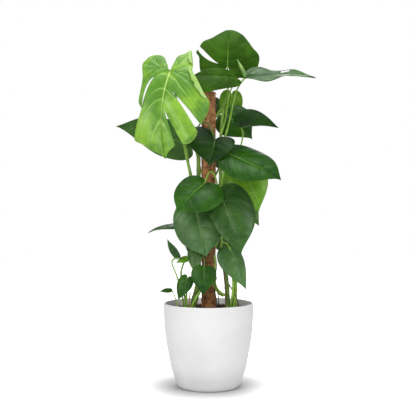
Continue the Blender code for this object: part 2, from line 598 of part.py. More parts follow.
def tube_mesh(path, radii, sides):
    """Closed round tube along a path."""
    path = np.array(path)
    tangent = np.gradient(path, axis=0)
    tangent = tangent / np.linalg.norm(tangent, axis=1)[:, None]
    across = np.cross(tangent[0], np.array([0.31, 0.83, 0.47]))
    across = across / np.linalg.norm(across)
    points = []
    for p, t, r in zip(path, tangent, radii):
        across = across - t * (across @ t)
        across = across / np.linalg.norm(across)
        other = np.cross(t, across)
        for k in range(sides):
            a = 2.0 * math.pi * k / sides
            points.append(p + r * (math.cos(a) * across + math.sin(a) * other))
    faces = []
    for i in range(len(path) - 1):
        for k in range(sides):
            n = (k + 1) % sides
            faces.append([i * sides + k, i * sides + n, (i + 1) * sides + n, (i + 1) * sides + k])
    last = (len(path) - 1) * sides
    faces.append([k for k in range(sides)][::-1])
    faces.append([last + k for k in range(sides)])
    return points, faces


def thick_sheet(points, faces, thickness):
    """Closed thin body round a middle surface."""
    normal = np.zeros_like(points)
    for face in faces:
        corner = points[face]
        area = np.zeros(3)
        for k in range(len(face)):
            area += np.cross(corner[k], corner[(k + 1) % len(face)])
        for k in face:
            normal[k] += area
    normal = normal / np.linalg.norm(normal, axis=1)[:, None]
    count = len(points)
    body = np.vstack([points + normal * thickness / 2.0, points - normal * thickness / 2.0])
    used = {}
    for face in faces:
        for a, b in zip(face, face[1:] + face[:1]):
            used[(a, b)] = True
    solid = [list(face) for face in faces]
    solid += [[k + count for k in reversed(face)] for face in faces]
    for a, b in used:
        if (b, a) not in used:
            solid.append([a + count, b + count, b, a])
    return body, solid


def turned_mesh(profile, sides):
    """Body of revolution about the upright axis; the profile starts and ends on it."""
    points = [(0.0, 0.0, profile[0][1])]
    for radius, height in profile[1:-1]:
        for k in range(sides):
            a = 2.0 * math.pi * k / sides
            points.append((radius * math.cos(a), radius * math.sin(a), height))
    points.append((0.0, 0.0, profile[-1][1]))
    top = len(points) - 1
    rings = len(profile) - 2
    faces = [[1 + k for k in range(sides)][::-1]]
    for i in range(rings - 1):
        low = 1 + i * sides
        for k in range(sides):
            n = (k + 1) % sides
            faces.append([low + k, low + n, low + sides + n, low + sides + k])
    last = 1 + (rings - 1) * sides
    for k in range(sides):
        faces.append([last + k, last + (k + 1) % sides, top])
    return points, faces


def drop_loose(obj):
    """Removes corners no face uses."""
    bm = bmesh.new()
    bm.from_mesh(obj.data)
    bmesh.ops.delete(bm, geom=[v for v in bm.verts if not v.link_faces], context="VERTS")
    bm.to_mesh(obj.data)
    bm.free()


# Pot: outside from the foot up, over the rim, down the inside.
pot_outside = [
    (POT_FOOT_RADIUS, 0.0), (0.1045, 0.0020), (0.1090, 0.0110), (0.1135, 0.0260), (0.1210, 0.0460),
    (0.1285, 0.0700), (0.1350, 0.1040), (0.1415, 0.1380), (0.1466, 0.1720), (0.1495, 0.2060),
    (0.1515, 0.2400), (0.1525, 0.2640),
]
pot_rim = [
    (POT_RIM_RADIUS + 0.0015, POT_HEIGHT - 0.0025), (POT_RIM_RADIUS - 0.0008, POT_HEIGHT),
    (POT_RIM_RADIUS - 0.0028, POT_HEIGHT - 0.0004), (POT_RIM_RADIUS - 0.0035, POT_HEIGHT - 0.0025),
]
pot_inside = [(r - POT_WALL, z + 0.0055) for r, z in pot_outside[1:11]][::-1]
pot_profile = [(0.0, 0.0)] + pot_outside + pot_rim + pot_inside + [(0.0, pot_inside[-1][1])]
pot = add_object("pot", *turned_mesh(pot_profile, POT_SIDES), (0.80, 0.80, 0.79, 1.0), 0.55, True)
drop_loose(pot)

# Climbing pole: coir rolled into a log, a little uneven, cut slanting on top.
pole_points = []
pole_faces = []
pole_sides = 22
pole_rings = 14
for i in range(pole_rings):
    height = POLE_FOOT + (POLE_TOP - POLE_FOOT) * i / (pole_rings - 1)
    for k in range(pole_sides):
        a = 2.0 * math.pi * k / pole_sides
        radius = POLE_RADIUS + 0.0005 * math.sin(3.0 * a + 9.0 * i) + 0.0004 * math.sin(5.0 * a + 4.0 * i)
        lift = 0.0
        if i == pole_rings - 1:
            lift = 0.005 * math.cos(a - 2.4) + 0.0015 * math.sin(4.0 * a)
        pole_points.append((radius * math.cos(a), radius * math.sin(a), height + lift))
for i in range(pole_rings - 1):
    for k in range(pole_sides):
        n = (k + 1) % pole_sides
        pole_faces.append([i * pole_sides + k, i * pole_sides + n, (i + 1) * pole_sides + n,
            (i + 1) * pole_sides + k])
top_ring = (pole_rings - 1) * pole_sides
pole_points.append((0.0, 0.0, POLE_TOP - 0.001))
pole_faces.append([k for k in range(pole_sides)][::-1])
for k in range(pole_sides):
    pole_faces.append([top_ring + k, top_ring + (k + 1) % pole_sides, len(pole_points) - 1])
pole = add_object("coir_pole", pole_points, pole_faces, (0.230, 0.110, 0.050, 1.0), 0.95, True)

# Fat copies used only to cut sockets with a small clearance.
CUT_GAP = 0.0004
pole_cutter = add_object("cut_pole", *tube_mesh([(0.0, 0.0, POLE_FOOT - CUT_GAP), (0.0, 0.0, 0.40),
                         (0.0, 0.0, POLE_TOP + 0.02)], [POLE_RADIUS + 0.0018] * 3, 26), None, 0.5, True)
cutters = [pole_cutter]
stem_cutters = {}
for name, stem in STEMS.items():
    count = max(6, int(round(len(stem["path"]) * 2.6)))
    path = smooth_path(stem["path"], count)
    share = np.linspace(0.0, 1.0, count)
    radii = stem["radius"][0] * (1.0 - share) + stem["radius"][1] * share
    if name == "leaf_rolled":
        radii = stem["radius"][0] * np.sin(np.pi * (0.12 + 0.80 * share)) ** 0.8 * (1.0 - 0.55 * share)
    sides = 8 if stem["radius"][0] > 0.004 else 6
    add_object(name, *tube_mesh(path, radii, sides), stem["color"], 0.55, True)
    fat = path.copy()
    fat[0] = fat[0] + (fat[0] - fat[1]) * 0.02
    fat[-1] = fat[-1] + (fat[-1] - fat[-2]) * 0.02
    stem_cutters[name] = add_object("cut_" + name, *tube_mesh(fat, radii + CUT_GAP + 0.0001, sides),
        None, 0.5, True)
    cutters.append(stem_cutters[name])

# Leaves: blade and stalk in one body, with a socket where the stalk clasps a stem.
soil_tools = [pole_cutter] + [stem_cutters[n] for n in STEMS if STEMS[n]["path"][0][2] < 0.25
                              or STEMS[n]["path"][-1][2] < 0.25]
for name, leaf in LEAVES.items():
    small = leaf["radius"][0] < 0.0036
    steps = 3 if small else RIB_STEPS
    if any(cut[3] < 1.0 for cut in leaf.get("splits", ())):
        steps = 6
    points, faces = blade_surface(leaf, steps, leaf.get("detail", 6 if small else RIBS_PER_SIDE))
    blade = add_object(name, *thick_sheet(points, faces, BLADE_THICKNESS), leaf["color"], 0.40, True)
    path = stalk_path(leaf)
    count = len(path)
    share = np.linspace(0.0, 1.0, count)
    radii = leaf["radius"][0] * (1.0 - share) ** 1.5 + leaf["radius"][1] * (1.0 - (1.0 - share) ** 1.5)
    stalk = add_object("cut_stalk", *tube_mesh(path, radii, STALK_SIDES), None, 0.5, True)
    combine(blade, stalk, "UNION")
    bpy.data.objects.remove(stalk, do_unlink=True)
    if "from" in leaf:
        combine(blade, stem_cutters[leaf["from"][0]], "DIFFERENCE")
    else:
        fat = add_object("cut_" + name, *tube_mesh(path, radii + CUT_GAP + 0.0001, STALK_SIDES), None,
            0.5, True)
        soil_tools.append(fat)
        cutters.append(fat)
    tidy(blade)

# Potting mix with the roots: fills the pot to just under the rim.
soil_side = [(r - SOIL_GAP, z + SOIL_GAP) for r, z in pot_inside[::-1] if z < SOIL_LEVEL - 0.012]
soil_top = [(0.1445, SOIL_LEVEL - 0.008), (0.125, SOIL_LEVEL - 0.002), (0.095, SOIL_LEVEL + 0.001),
            (0.060, SOIL_LEVEL + 0.003)]
soil_profile = [(0.0, soil_side[0][1])] + soil_side + soil_top + [(0.0, SOIL_LEVEL + 0.004)]
soil_points, soil_faces = turned_mesh(soil_profile, POT_SIDES)
first_top = 1 + len(soil_side) * POT_SIDES
soil_points = [list(p) for p in soil_points]
for k in range(first_top + POT_SIDES, len(soil_points) - 1):
    x, y = soil_points[k][0], soil_points[k][1]
    soil_points[k][2] += 0.0018 * math.sin(61.0 * x + 1.0) * math.cos(53.0 * y - 0.6)
soil = add_object("potting_mix", soil_points, soil_faces, (0.045, 0.028, 0.018, 1.0), 0.98, True)
drop_loose(soil)
for tool in soil_tools:
    combine(soil, tool, "DIFFERENCE")
tidy(soil)

for obj in cutters:
    bpy.data.objects.remove(obj, do_unlink=True)
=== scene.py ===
import math

import bmesh
import bpy
import numpy as np
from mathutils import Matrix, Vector


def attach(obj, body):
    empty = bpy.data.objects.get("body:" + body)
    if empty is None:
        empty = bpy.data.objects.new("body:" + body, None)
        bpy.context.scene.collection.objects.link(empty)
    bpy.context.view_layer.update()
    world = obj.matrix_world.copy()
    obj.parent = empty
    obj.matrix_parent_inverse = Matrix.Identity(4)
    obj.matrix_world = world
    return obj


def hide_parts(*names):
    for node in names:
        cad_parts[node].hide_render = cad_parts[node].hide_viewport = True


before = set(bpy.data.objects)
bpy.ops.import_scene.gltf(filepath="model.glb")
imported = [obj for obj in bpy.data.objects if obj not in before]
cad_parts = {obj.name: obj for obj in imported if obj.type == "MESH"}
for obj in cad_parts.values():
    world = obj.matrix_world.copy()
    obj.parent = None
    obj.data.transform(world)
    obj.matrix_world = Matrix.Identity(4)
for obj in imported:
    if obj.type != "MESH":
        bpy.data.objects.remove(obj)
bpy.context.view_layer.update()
scene = bpy.context.scene
print("frame loaded")


# Meshes.

def plainMesh(name, points, faces, smooth=True):
    mesh = bpy.data.meshes.new(name)
    mesh.from_pydata([tuple(map(float, p)) for p in points], [], faces)
    mesh.update()
    if smooth:
        mesh.polygons.foreach_set("use_smooth", [True] * len(mesh.polygons))
    return mesh


def ringPoints(radius, height, sides):
    turns = [2.0 * math.pi * k / sides for k in range(sides)]
    return [(radius * math.cos(a), radius * math.sin(a), height) for a in turns]


def wallFaces(first, rings, sides, inward=False):
    # faces between neighbouring rings of points, counted from the point number first
    faces = []
    for i in range(rings - 1):
        low, high = first + i * sides, first + (i + 1) * sides
        for k in range(sides):
            n = (k + 1) % sides
            face = [low + k, low + n, high + n, high + k]
            faces.append([low + k, high + k, high + n, low + n] if inward else face)
    return faces


def newObject(name, mesh):
    obj = bpy.data.objects.new(name, mesh)
    scene.collection.objects.link(obj)
    return obj


def bakeTree(obj, tree, values=()):
    # runs a node tree on the object once and keeps the result as a plain mesh
    modifier = obj.modifiers.new(tree.name, "NODES")
    modifier.node_group = tree
    for socket, value in values:
        item = next(i for i in tree.interface.items_tree if i.name == socket and i.in_out == "INPUT")
        modifier[item.identifier] = value
    graph = bpy.context.evaluated_depsgraph_get()
    mesh = bpy.data.meshes.new_from_object(obj.evaluated_get(graph))
    obj.modifiers.remove(modifier)
    obj.data = mesh
    return obj


def setPiece(obj, nodes):
    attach(obj, "root")
    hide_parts(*nodes)


# Node helpers.

class Wiring:
    # small helper to place nodes in a tree and link them
    def __init__(self, tree):
        self.tree = tree

    def add(self, kind, inputs=None, **settings):
        node = self.tree.nodes.new(kind)
        for key, value in settings.items():
            setattr(node, key, value)
        for key, value in (inputs or {}).items():
            self.feed(value, node.inputs[key])
        return node

    def feed(self, value, socket):
        if isinstance(value, bpy.types.NodeSocket):
            self.tree.links.new(value, socket)
        else:
            socket.default_value = value

    def math(self, operation, a, b=0.0, clamp=False):
        node = self.add("ShaderNodeMath", {0: a, 1: b}, operation=operation)
        node.use_clamp = clamp
        return node.outputs[0]

    def times(self, a, b):
        return self.math("MULTIPLY", a, b)

    def mix(self, factor, a, b):
        node = self.add("ShaderNodeMix", data_type="RGBA")
        self.feed(factor, node.inputs[0])
        self.feed(a, node.inputs[6])
        self.feed(b, node.inputs[7])
        return node.outputs[2]

    def band(self, value, low, high, toLow=0.0, toHigh=1.0):
        node = self.add("ShaderNodeMapRange", {0: value, 1: low, 2: high, 3: toLow, 4: toHigh})
        node.interpolation_type = "SMOOTHSTEP"
        return node.outputs[0]

    def noise(self, vector, scale, detail=3.0, rough=0.55):
        node = self.add("ShaderNodeTexNoise", {"Vector": vector, "Scale": scale, "Detail": detail,
                                               "Roughness": rough})
        return node.outputs["Fac"]

    def stretched(self, vector, scale):
        node = self.add("ShaderNodeMapping", {"Vector": vector, "Scale": scale})
        return node.outputs[0]

    def place(self):
        return self.add("ShaderNodeTexCoord").outputs["Object"]

    def bump(self, shader, height, strength, distance):
        node = self.add("ShaderNodeBump", {"Height": height, "Strength": strength,
                                           "Distance": distance})
        self.feed(node.outputs[0], shader.inputs["Normal"])
        return node


def newGroup(name, kind, inputs, outputs):
    tree = bpy.data.node_groups.new(name, kind)
    for label, socketType, value in inputs:
        item = tree.interface.new_socket(label, in_out="INPUT", socket_type=socketType)
        if value is not None:
            item.default_value = value
    for label, socketType in outputs:
        tree.interface.new_socket(label, in_out="OUTPUT", socket_type=socketType)
    wire = Wiring(tree)
    return tree, wire, wire.add("NodeGroupInput"), wire.add("NodeGroupOutput")


# Shared shader effects.

def makeVeinGroup():
    # veins of a blade, from its own map: U runs out along a rib, V runs from the joint to the tip
    tree, wire, inp, out = newGroup("leafVeins", "ShaderNodeTree", [
        ("Vein Count", "NodeSocketFloat", 9.0), ("Vein Width", "NodeSocketFloat", 0.10),
        ("Net Scale", "NodeSocketFloat", 160.0)],
        [("Vein", "NodeSocketFloat"), ("Midrib", "NodeSocketFloat"), ("Fine", "NodeSocketFloat"),
         ("Height", "NodeSocketFloat"), ("Rim", "NodeSocketFloat")])
    uv = wire.add("ShaderNodeUVMap", uv_map="leafMap").outputs[0]
    split = wire.add("ShaderNodeSeparateXYZ", {0: uv})
    across, along = split.outputs[0], split.outputs[1]
    phase = wire.times(along, inp.outputs["Vein Count"])
    centred = wire.math("SUBTRACT", wire.math("FRACT", phase), 0.5)
    away = wire.math("SUBTRACT", 0.5, wire.math("ABSOLUTE", centred))
    width = wire.times(inp.outputs["Vein Width"], wire.band(across, 0.0, 0.8, 1.2, 0.30))
    edge = wire.math("DIVIDE", away, width)
    vein = wire.band(edge, 1.0, 0.15)
    vein = wire.times(vein, wire.band(across, 1.0, 0.80))
    fork = wire.math("SUBTRACT", 0.5, wire.math("ABSOLUTE", wire.math(
        "SUBTRACT", wire.math("FRACT", wire.math("ADD", wire.times(phase, 2.0), 0.5)), 0.5)))
    minor = wire.times(wire.band(fork, 0.16, 0.02), wire.band(across, 0.15, 0.5))
    rib = wire.band(wire.math("ADD", across, wire.times(along, 0.020)), 0.046, 0.014)
    place = wire.place()
    cells = wire.add("ShaderNodeTexVoronoi", {"Vector": place, "Scale": inp.outputs["Net Scale"]},
                     feature="DISTANCE_TO_EDGE").outputs["Distance"]
    net = wire.band(cells, 0.10, 0.0)
    fine = wire.math("MAXIMUM", wire.times(minor, 0.55), wire.times(net, 0.35))
    height = wire.math("ADD", wire.times(vein, 0.7), wire.times(fine, 0.30))
    height = wire.math("ADD", height, wire.times(wire.noise(place, 900.0, 2.0), 0.10))
    rim = wire.band(across, 0.965, 0.995)
    results = {"Vein": vein, "Midrib": rib, "Fine": fine, "Height": height, "Rim": rim}
    for name, value in results.items():
        wire.feed(value, out.inputs[name])
    return tree


def makeMottleGroup():
    # slow change of tone over living tissue, in metres
    tree, wire, inp, out = newGroup(
        "tissueMottle", "ShaderNodeTree", [("Scale", "NodeSocketFloat", 14.0)],
        [("Mask", "NodeSocketFloat"), ("Speck", "NodeSocketFloat")])
    place = wire.place()
    shift = (0.37, 1.1, 0.71)
    moved = wire.add("ShaderNodeVectorMath", {0: place, 1: shift}, operation="ADD").outputs[0]
    slow = wire.noise(moved, inp.outputs["Scale"], 3.0, 0.6)
    wire.feed(wire.band(slow, 0.36, 0.66), out.inputs["Mask"])
    wire.feed(wire.band(wire.noise(moved, 420.0, 2.0, 0.5), 0.60, 0.78), out.inputs["Speck"])
    return tree


def makeFibreGroup():
    # tangled strands for coir and dry root skin
    tree, wire, inp, out = newGroup(
        "tangledFibre", "ShaderNodeTree", [("Scale", "NodeSocketFloat", 260.0)],
        [("Strand", "NodeSocketFloat"), ("Pit", "NodeSocketFloat")])
    place = wire.place()
    warp = wire.add("ShaderNodeTexNoise", {"Vector": place, "Scale": 30.0, "Detail": 2.0})
    bend = (0.05, 0.05, 0.05)
    bent = wire.add("ShaderNodeVectorMath", {0: warp.outputs["Color"], 1: bend},
                    operation="MULTIPLY").outputs[0]
    moved = wire.add("ShaderNodeVectorMath", {0: place, 1: bent}, operation="ADD").outputs[0]
    upright = wire.noise(wire.stretched(moved, (1.0, 1.0, 0.18)), inp.outputs["Scale"], 3.0, 0.65)
    level = wire.noise(wire.stretched(moved, (0.22, 0.22, 1.3)), inp.outputs["Scale"], 3.0, 0.65)
    strand = wire.math("MAXIMUM", wire.band(upright, 0.48, 0.66), wire.band(level, 0.50, 0.68))
    wire.feed(strand, out.inputs["Strand"])
    wire.feed(wire.band(wire.noise(place, 70.0, 3.0), 0.38, 0.62), out.inputs["Pit"])
    return tree


veinGroup = makeVeinGroup()
mottleGroup = makeMottleGroup()
fibreGroup = makeFibreGroup()


def newMaterial(name):
    material = bpy.data.materials.new(name)
    material.use_nodes = True
    material.node_tree.nodes.clear()
    wire = Wiring(material.node_tree)
    shader = wire.add("ShaderNodeBsdfPrincipled")
    output = wire.add("ShaderNodeOutputMaterial")
    wire.feed(shader.outputs[0], output.inputs[0])
    return material, wire, shader, output


def placeGroup(wire, tree, inputs=None):
    node = wire.tree.nodes.new("ShaderNodeGroup")
    node.node_tree = tree
    for key, value in (inputs or {}).items():
        wire.feed(value, node.inputs[key])
    return node


# tones are linear: body of the blade, shaded body, lateral veins, midrib, glow of light passing through
leafFinishes = {
    "mature": {
        "body": (0.028, 0.12, 0.005, 1), "deep": (0.008, 0.056, 0.002, 1),
        "vein": (0.075, 0.21, 0.018, 1), "midrib": (0.19, 0.37, 0.05, 1), "glow": (0.06, 0.24, 0.01, 1),
        "veinShow": 0.3, "rough": 0.29, "gloss": 0.2,
    },
    "crown": {
        "body": (0.04, 0.118, 0.005, 1), "deep": (0.017, 0.06, 0.002, 1),
        "vein": (0.08, 0.19, 0.014, 1), "midrib": (0.17, 0.34, 0.04, 1), "glow": (0.06, 0.2, 0.01, 1),
        "veinShow": 0.28, "rough": 0.4, "gloss": 0.06,
    },
    "deep": {
        "body": (0.014, 0.06, 0.004, 1), "deep": (0.004, 0.024, 0.002, 1),
        "vein": (0.045, 0.125, 0.016, 1), "midrib": (0.13, 0.27, 0.04, 1),
        "glow": (0.03, 0.13, 0.01, 1), "veinShow": 0.3, "rough": 0.28, "gloss": 0.16,
    },
    "soft": {
        "body": (0.046, 0.134, 0.02, 1), "deep": (0.015, 0.066, 0.008, 1), "vein": (0.09, 0.2, 0.04, 1),
        "midrib": (0.2, 0.37, 0.08, 1), "glow": (0.06, 0.22, 0.02, 1), "veinShow": 0.32, "rough": 0.3,
        "gloss": 0.32,
    },
    # painted sheen: a lighter, greyer copy of the blade tones standing in for the white studio's sheen
    # on the leaf
    "paintedSheen": {
        "body": (0.085, 0.205, 0.05, 1), "deep": (0.04, 0.118, 0.026, 1),
        "vein": (0.13, 0.26, 0.075, 1), "midrib": (0.23, 0.4, 0.11, 1), "glow": (0.07, 0.24, 0.03, 1),
        "veinShow": 0.34, "rough": 0.32, "gloss": 0.36,
    },
    "fresh": {
        "body": (0.235, 0.46, 0.034, 1), "deep": (0.062, 0.215, 0.004, 1), "vein": (0.4, 0.62, 0.12, 1),
        "midrib": (0.56, 0.76, 0.22, 1), "glow": (0.4, 0.7, 0.03, 1), "veinShow": 0.55, "rough": 0.3,
        "gloss": 0.45,
    },
    "turnedMargin": {
        "body": (0.48, 0.68, 0.24, 1), "deep": (0.34, 0.56, 0.12, 1), "vein": (0.6, 0.78, 0.34, 1),
        "midrib": (0.56, 0.76, 0.22, 1), "glow": (0.4, 0.7, 0.08, 1), "veinShow": 0.4, "rough": 0.4,
        "gloss": 0.2,
    },
    # painted sheen: a lighter, greyer copy of the blade tones standing in for the studio's soft
    # reflection on the leaf
    "paintedPaleSheen": {
        "body": (0.1, 0.22, 0.05, 1), "deep": (0.038, 0.11, 0.016, 1), "vein": (0.21, 0.34, 0.12, 1),
        "midrib": (0.3, 0.46, 0.16, 1), "glow": (0.15, 0.34, 0.04, 1), "veinShow": 0.3, "rough": 0.32,
        "gloss": 0.36,
    },
    # light green of young leaves; on the back-lit leaf the same light body is a painted back light
    # standing in for light through the blade
    "bright": {
        "body": (0.25, 0.49, 0.045, 1), "deep": (0.115, 0.3, 0.014, 1), "vein": (0.3, 0.52, 0.07, 1),
        "midrib": (0.43, 0.65, 0.15, 1), "glow": (0.36, 0.66, 0.02, 1), "veinShow": 0.42, "rough": 0.3,
        "gloss": 0.28,
    },
}


def makeBladeMaterial(name, tone, veinCount, under):
    material, wire, shader, output = newMaterial(name)
    veinWidth = 0.13 if under else 0.09
    veins = placeGroup(wire, veinGroup, {"Vein Count": veinCount, "Vein Width": veinWidth})
    mottle = placeGroup(wire, mottleGroup, {"Scale": 13.0})
    color = wire.mix(mottle.outputs["Mask"], tone["deep"], tone["body"])
    color = wire.mix(wire.times(veins.outputs["Fine"], 0.35), color, tone["vein"])
    shown = wire.times(veins.outputs["Vein"], tone["veinShow"])
    color = wire.mix(shown, color, tone["vein"])
    color = wire.mix(wire.times(veins.outputs["Rim"], 0.45), color, tone["vein"])
    color = wire.mix(wire.times(mottle.outputs["Speck"], 0.20), color, tone["vein"])
    if under:
        color = wire.mix(0.15, color, (0.22, 0.34, 0.13, 1))
    color = wire.mix(wire.times(veins.outputs["Midrib"], 0.85), color, tone["midrib"])
    wire.feed(color, shader.inputs["Base Color"])
    rough = wire.band(mottle.outputs["Mask"], 0.0, 1.0, tone["rough"] + 0.10, tone["rough"])
    if under:
        rough = wire.math("ADD", rough, 0.18)
    wire.feed(rough, shader.inputs["Roughness"])
    shader.inputs["Specular IOR Level"].default_value = 0.15 if under else tone["gloss"]
    bump = wire.bump(shader, veins.outputs["Height"], 0.45, 0.0008)
    bump.invert = not under  # veins stand proud below and lie sunk above
    through = wire.add("ShaderNodeBsdfTranslucent")
    through.inputs["Color"].default_value = tone["glow"]
    both = wire.add("ShaderNodeMixShader", {0: 0.22})
    wire.feed(shader.outputs[0], both.inputs[1])
    wire.feed(through.outputs[0], both.inputs[2])
    wire.feed(both.outputs[0], output.inputs[0])
    return material


bladeMaterials = {}


def bladeMaterial(finish, veinCount, under):
    key = (finish, veinCount, under)
    if key not in bladeMaterials:
        side = "Under" if under else "Upper"
        name = finish + "Blade" + side + str(veinCount)
        bladeMaterials[key] = makeBladeMaterial(name, leafFinishes[finish], float(veinCount), under)
    return bladeMaterials[key]


def makeSkinMaterial(name, low, high, streak, rough):
    # smooth living skin of stalks and stems, streaked along its length
    material, wire, shader, output = newMaterial(name)
    mottle = placeGroup(wire, mottleGroup, {"Scale": 30.0})
    place = wire.place()
    lines = wire.noise(wire.stretched(place, (1.0, 1.0, 0.07)), 520.0, 3.0, 0.6)
    color = wire.mix(mottle.outputs["Mask"], low, high)
    color = wire.mix(wire.times(wire.band(lines, 0.50, 0.66), 0.45), color, streak)
    color = wire.mix(wire.times(mottle.outputs["Speck"], 0.35), color, streak)
    wire.feed(color, shader.inputs["Base Color"])
    wire.feed(wire.band(lines, 0.3, 0.7, rough, rough + 0.15), shader.inputs["Roughness"])
    wire.bump(shader, lines, 0.3, 0.0005)
    return material


stalkSkin = makeSkinMaterial("greenStalkSkin", (0.140, 0.290, 0.020, 1), (0.270, 0.480, 0.050, 1),
                             (0.400, 0.580, 0.120, 1), 0.36)
darkStalkSkin = makeSkinMaterial("darkStalkSkin", (0.040, 0.105, 0.010, 1), (0.080, 0.180, 0.022, 1),
                                 (0.160, 0.270, 0.060, 1), 0.36)
stemSkin = makeSkinMaterial("oldStemSkin", (0.085, 0.170, 0.016, 1), (0.200, 0.360, 0.040, 1),
                            (0.300, 0.300, 0.080, 1), 0.42)
sheathSkin = makeSkinMaterial("dryingSheathSkin", (0.300, 0.240, 0.040, 1), (0.480, 0.420, 0.080, 1),
                              (0.380, 0.170, 0.050, 1), 0.50)
youngSheathSkin = makeSkinMaterial("youngSheathSkin", (0.170, 0.330, 0.030, 1),
                                   (0.330, 0.520, 0.080, 1), (0.460, 0.560, 0.180, 1), 0.40)


# Blade surface.

# A blade is drawn flat first: x across, y along the midrib, stalk joint at
# y = 0, tip at y = 1. Then it is bent, twisted and set between its two ends.
# half: greatest half width, and widest: where it lies. lobe: how far the lobes
# hang back past the joint. sweep: lean of the ribs to the tip. fold and cup:
# how the halves rise and round over. droop, tipDrop, bow: bends of the midrib.
bladeShape = {
    "half": 0.46, "widest": 0.24, "lobe": 0.16, "sinus": 0.03, "shoulder": 0.42,
    "tipWidth": 0.05, "tipLength": 0.16, "left": {}, "right": {}, "notch": 0.04,
    "sweep": 0.30, "ribs": ((0.0, 0.14, 0.5), (1.0, 0.14, 0.5)),
    "droop": 0.5, "tipDrop": 0.0, "fold": 0.15, "cup": 0.6, "wave": 0.0, "waves": 2.0, "phase": 0.0,
    "twist": 0.0, "bow": 0.0, "round": 0.12, "splits": (), "veins": 9,
}

bladeMesh = {"thickness": 0.0008, "ribSteps": 18, "rowsPerVein": 6, "quilt": 0.0065, "groove": 0.011}


def cubic(p0, p1, p2, p3, t):
    t = t[:, None]
    return (1 - t) ** 3 * p0 + 3 * (1 - t) ** 2 * t * p1 + 3 * (1 - t) * t * t * p2 + t ** 3 * p3


def halfOutline(shape):
    # margin of one half of a blade, with the share of its length at each point
    if "margin" in shape:
        points = smoothPath([(x, y, 0.0) for x, y in shape["margin"]], 320)[:, :2]
    else:
        t = np.linspace(0.0, 1.0, 160)
        half, widest, lobe = shape["half"], shape["widest"], shape["lobe"]
        side = np.array([half, widest])
        start = np.array([shape["sinus"], -1.3 * lobe])
        turn = np.array([half, -1.15 * lobe])
        low = cubic(np.zeros(2), start, turn, side, t)
        up = np.array([half, widest + shape["shoulder"] * (1.0 - widest)])
        drip = np.array([shape["tipWidth"], 1.0 - shape["tipLength"]])
        high = cubic(side, up, drip, np.array([0.0, 1.0]), t)
        points = np.vstack([low, high[1:]])
    length = np.r_[0.0, np.cumsum(np.hypot(*np.diff(points, axis=0).T))]
    return points, length / length[-1]


def splitGap(cut, v):
    # opening of a split (to the margin) or of a slot (closed at both ends)
    if cut is None:
        return np.zeros_like(v)
    start, end, width = cut[2], cut[3], cut[4]
    taper = cut[5] if len(cut) > 5 else 0.0
    run = np.clip((v - start) / (end - start), 0.0, 1.0)
    if end >= 1.0:
        return width * np.sqrt(run) * (1.0 - taper * run)
    return width * np.sqrt(np.clip(np.sin(np.pi * run), 0.0, None)) * (run > 1e-6) * (run < 1.0 - 1e-6)


def ribMarks(shape, ribs):
    # places of the ribs along the margin, shared by both halves
    stops = [shape["notch"]] + sorted({c[1] for c in shape["splits"]}) + [1.0]
    marks = [shape["notch"]]
    for start, stop in zip(stops[:-1], stops[1:]):
        rows = max(1, int(round((stop - start) * ribs)))
        marks += list(start + (stop - start) * np.arange(1, rows + 1) / rows)
    return np.array(marks)


def bladePatches(shape, steps, ribs):
    # flat patches between the splits: side, x, y, map across, map along
    v = np.linspace(0.0, 1.0, steps + 1)
    marks = ribMarks(shape, ribs)
    points, length = halfOutline(shape)
    height = np.interp(marks, length, points[:, 1])
    roots = (np.clip(height - shape["sweep"], 0.0, None) / (1.0 - shape["sweep"])) ** 1.1
    if "roots" in shape:
        roots = np.interp(marks, [r[0] for r in shape["roots"]], [r[1] for r in shape["roots"]])
    roots[-1] = 1.0
    patches = []
    for side, key in ((-1, "left"), (1, "right")):
        half = dict(shape)
        half.update(shape[key])
        points, length = halfOutline(half)
        cuts = sorted([c for c in shape["splits"] if c[0] == side], key=lambda c: c[1])
        stops = [(shape["notch"], None)] + [(c[1], c) for c in cuts] + [(1.0, None)]
        for (start, cutA), (stop, cutB) in zip(stops[:-1], stops[1:]):
            rows = np.where((marks > start - 1e-9) & (marks < stop + 1e-9))[0]
            q = ((marks[rows] - start) / (stop - start))[:, None]
            low = start + splitGap(cutA, v) / 2.0
            high = stop - splitGap(cutB, v) / 2.0
            w = low[None] * (1.0 - q) + high[None] * q
            roundOff = np.zeros_like(w)
            for cut, end in ((cutA, 0.0), (cutB, 1.0)):
                if cut is not None and cut[3] >= 1.0:
                    near = np.clip(1.0 - np.abs(q - end) * 3.0, 0.0, 1.0) ** 2
                    roundOff = np.maximum(roundOff, shape["round"] * near)
            rib = v[None] * (1.0 - roundOff * v[None] ** 3)
            mx = np.interp(w, length, points[:, 0])
            my = np.interp(w, length, points[:, 1])
            root = roots[rows][:, None]
            places = [r[0] for r in half["ribs"]]
            arch = np.interp(marks[rows], places, [r[1] for r in half["ribs"]])[:, None]
            flare = np.interp(marks[rows], places, [r[2] for r in half["ribs"]])[:, None]
            cy = root + arch * (my - root)
            x = 2.0 * (1.0 - rib) * rib * flare * mx + rib ** 2 * mx
            y = (1.0 - rib) ** 2 * root + 2.0 * (1.0 - rib) * rib * cy + rib ** 2 * my
            patches.append((side, x * side, y, np.repeat(v[None], len(rows), 0), w))
    return patches


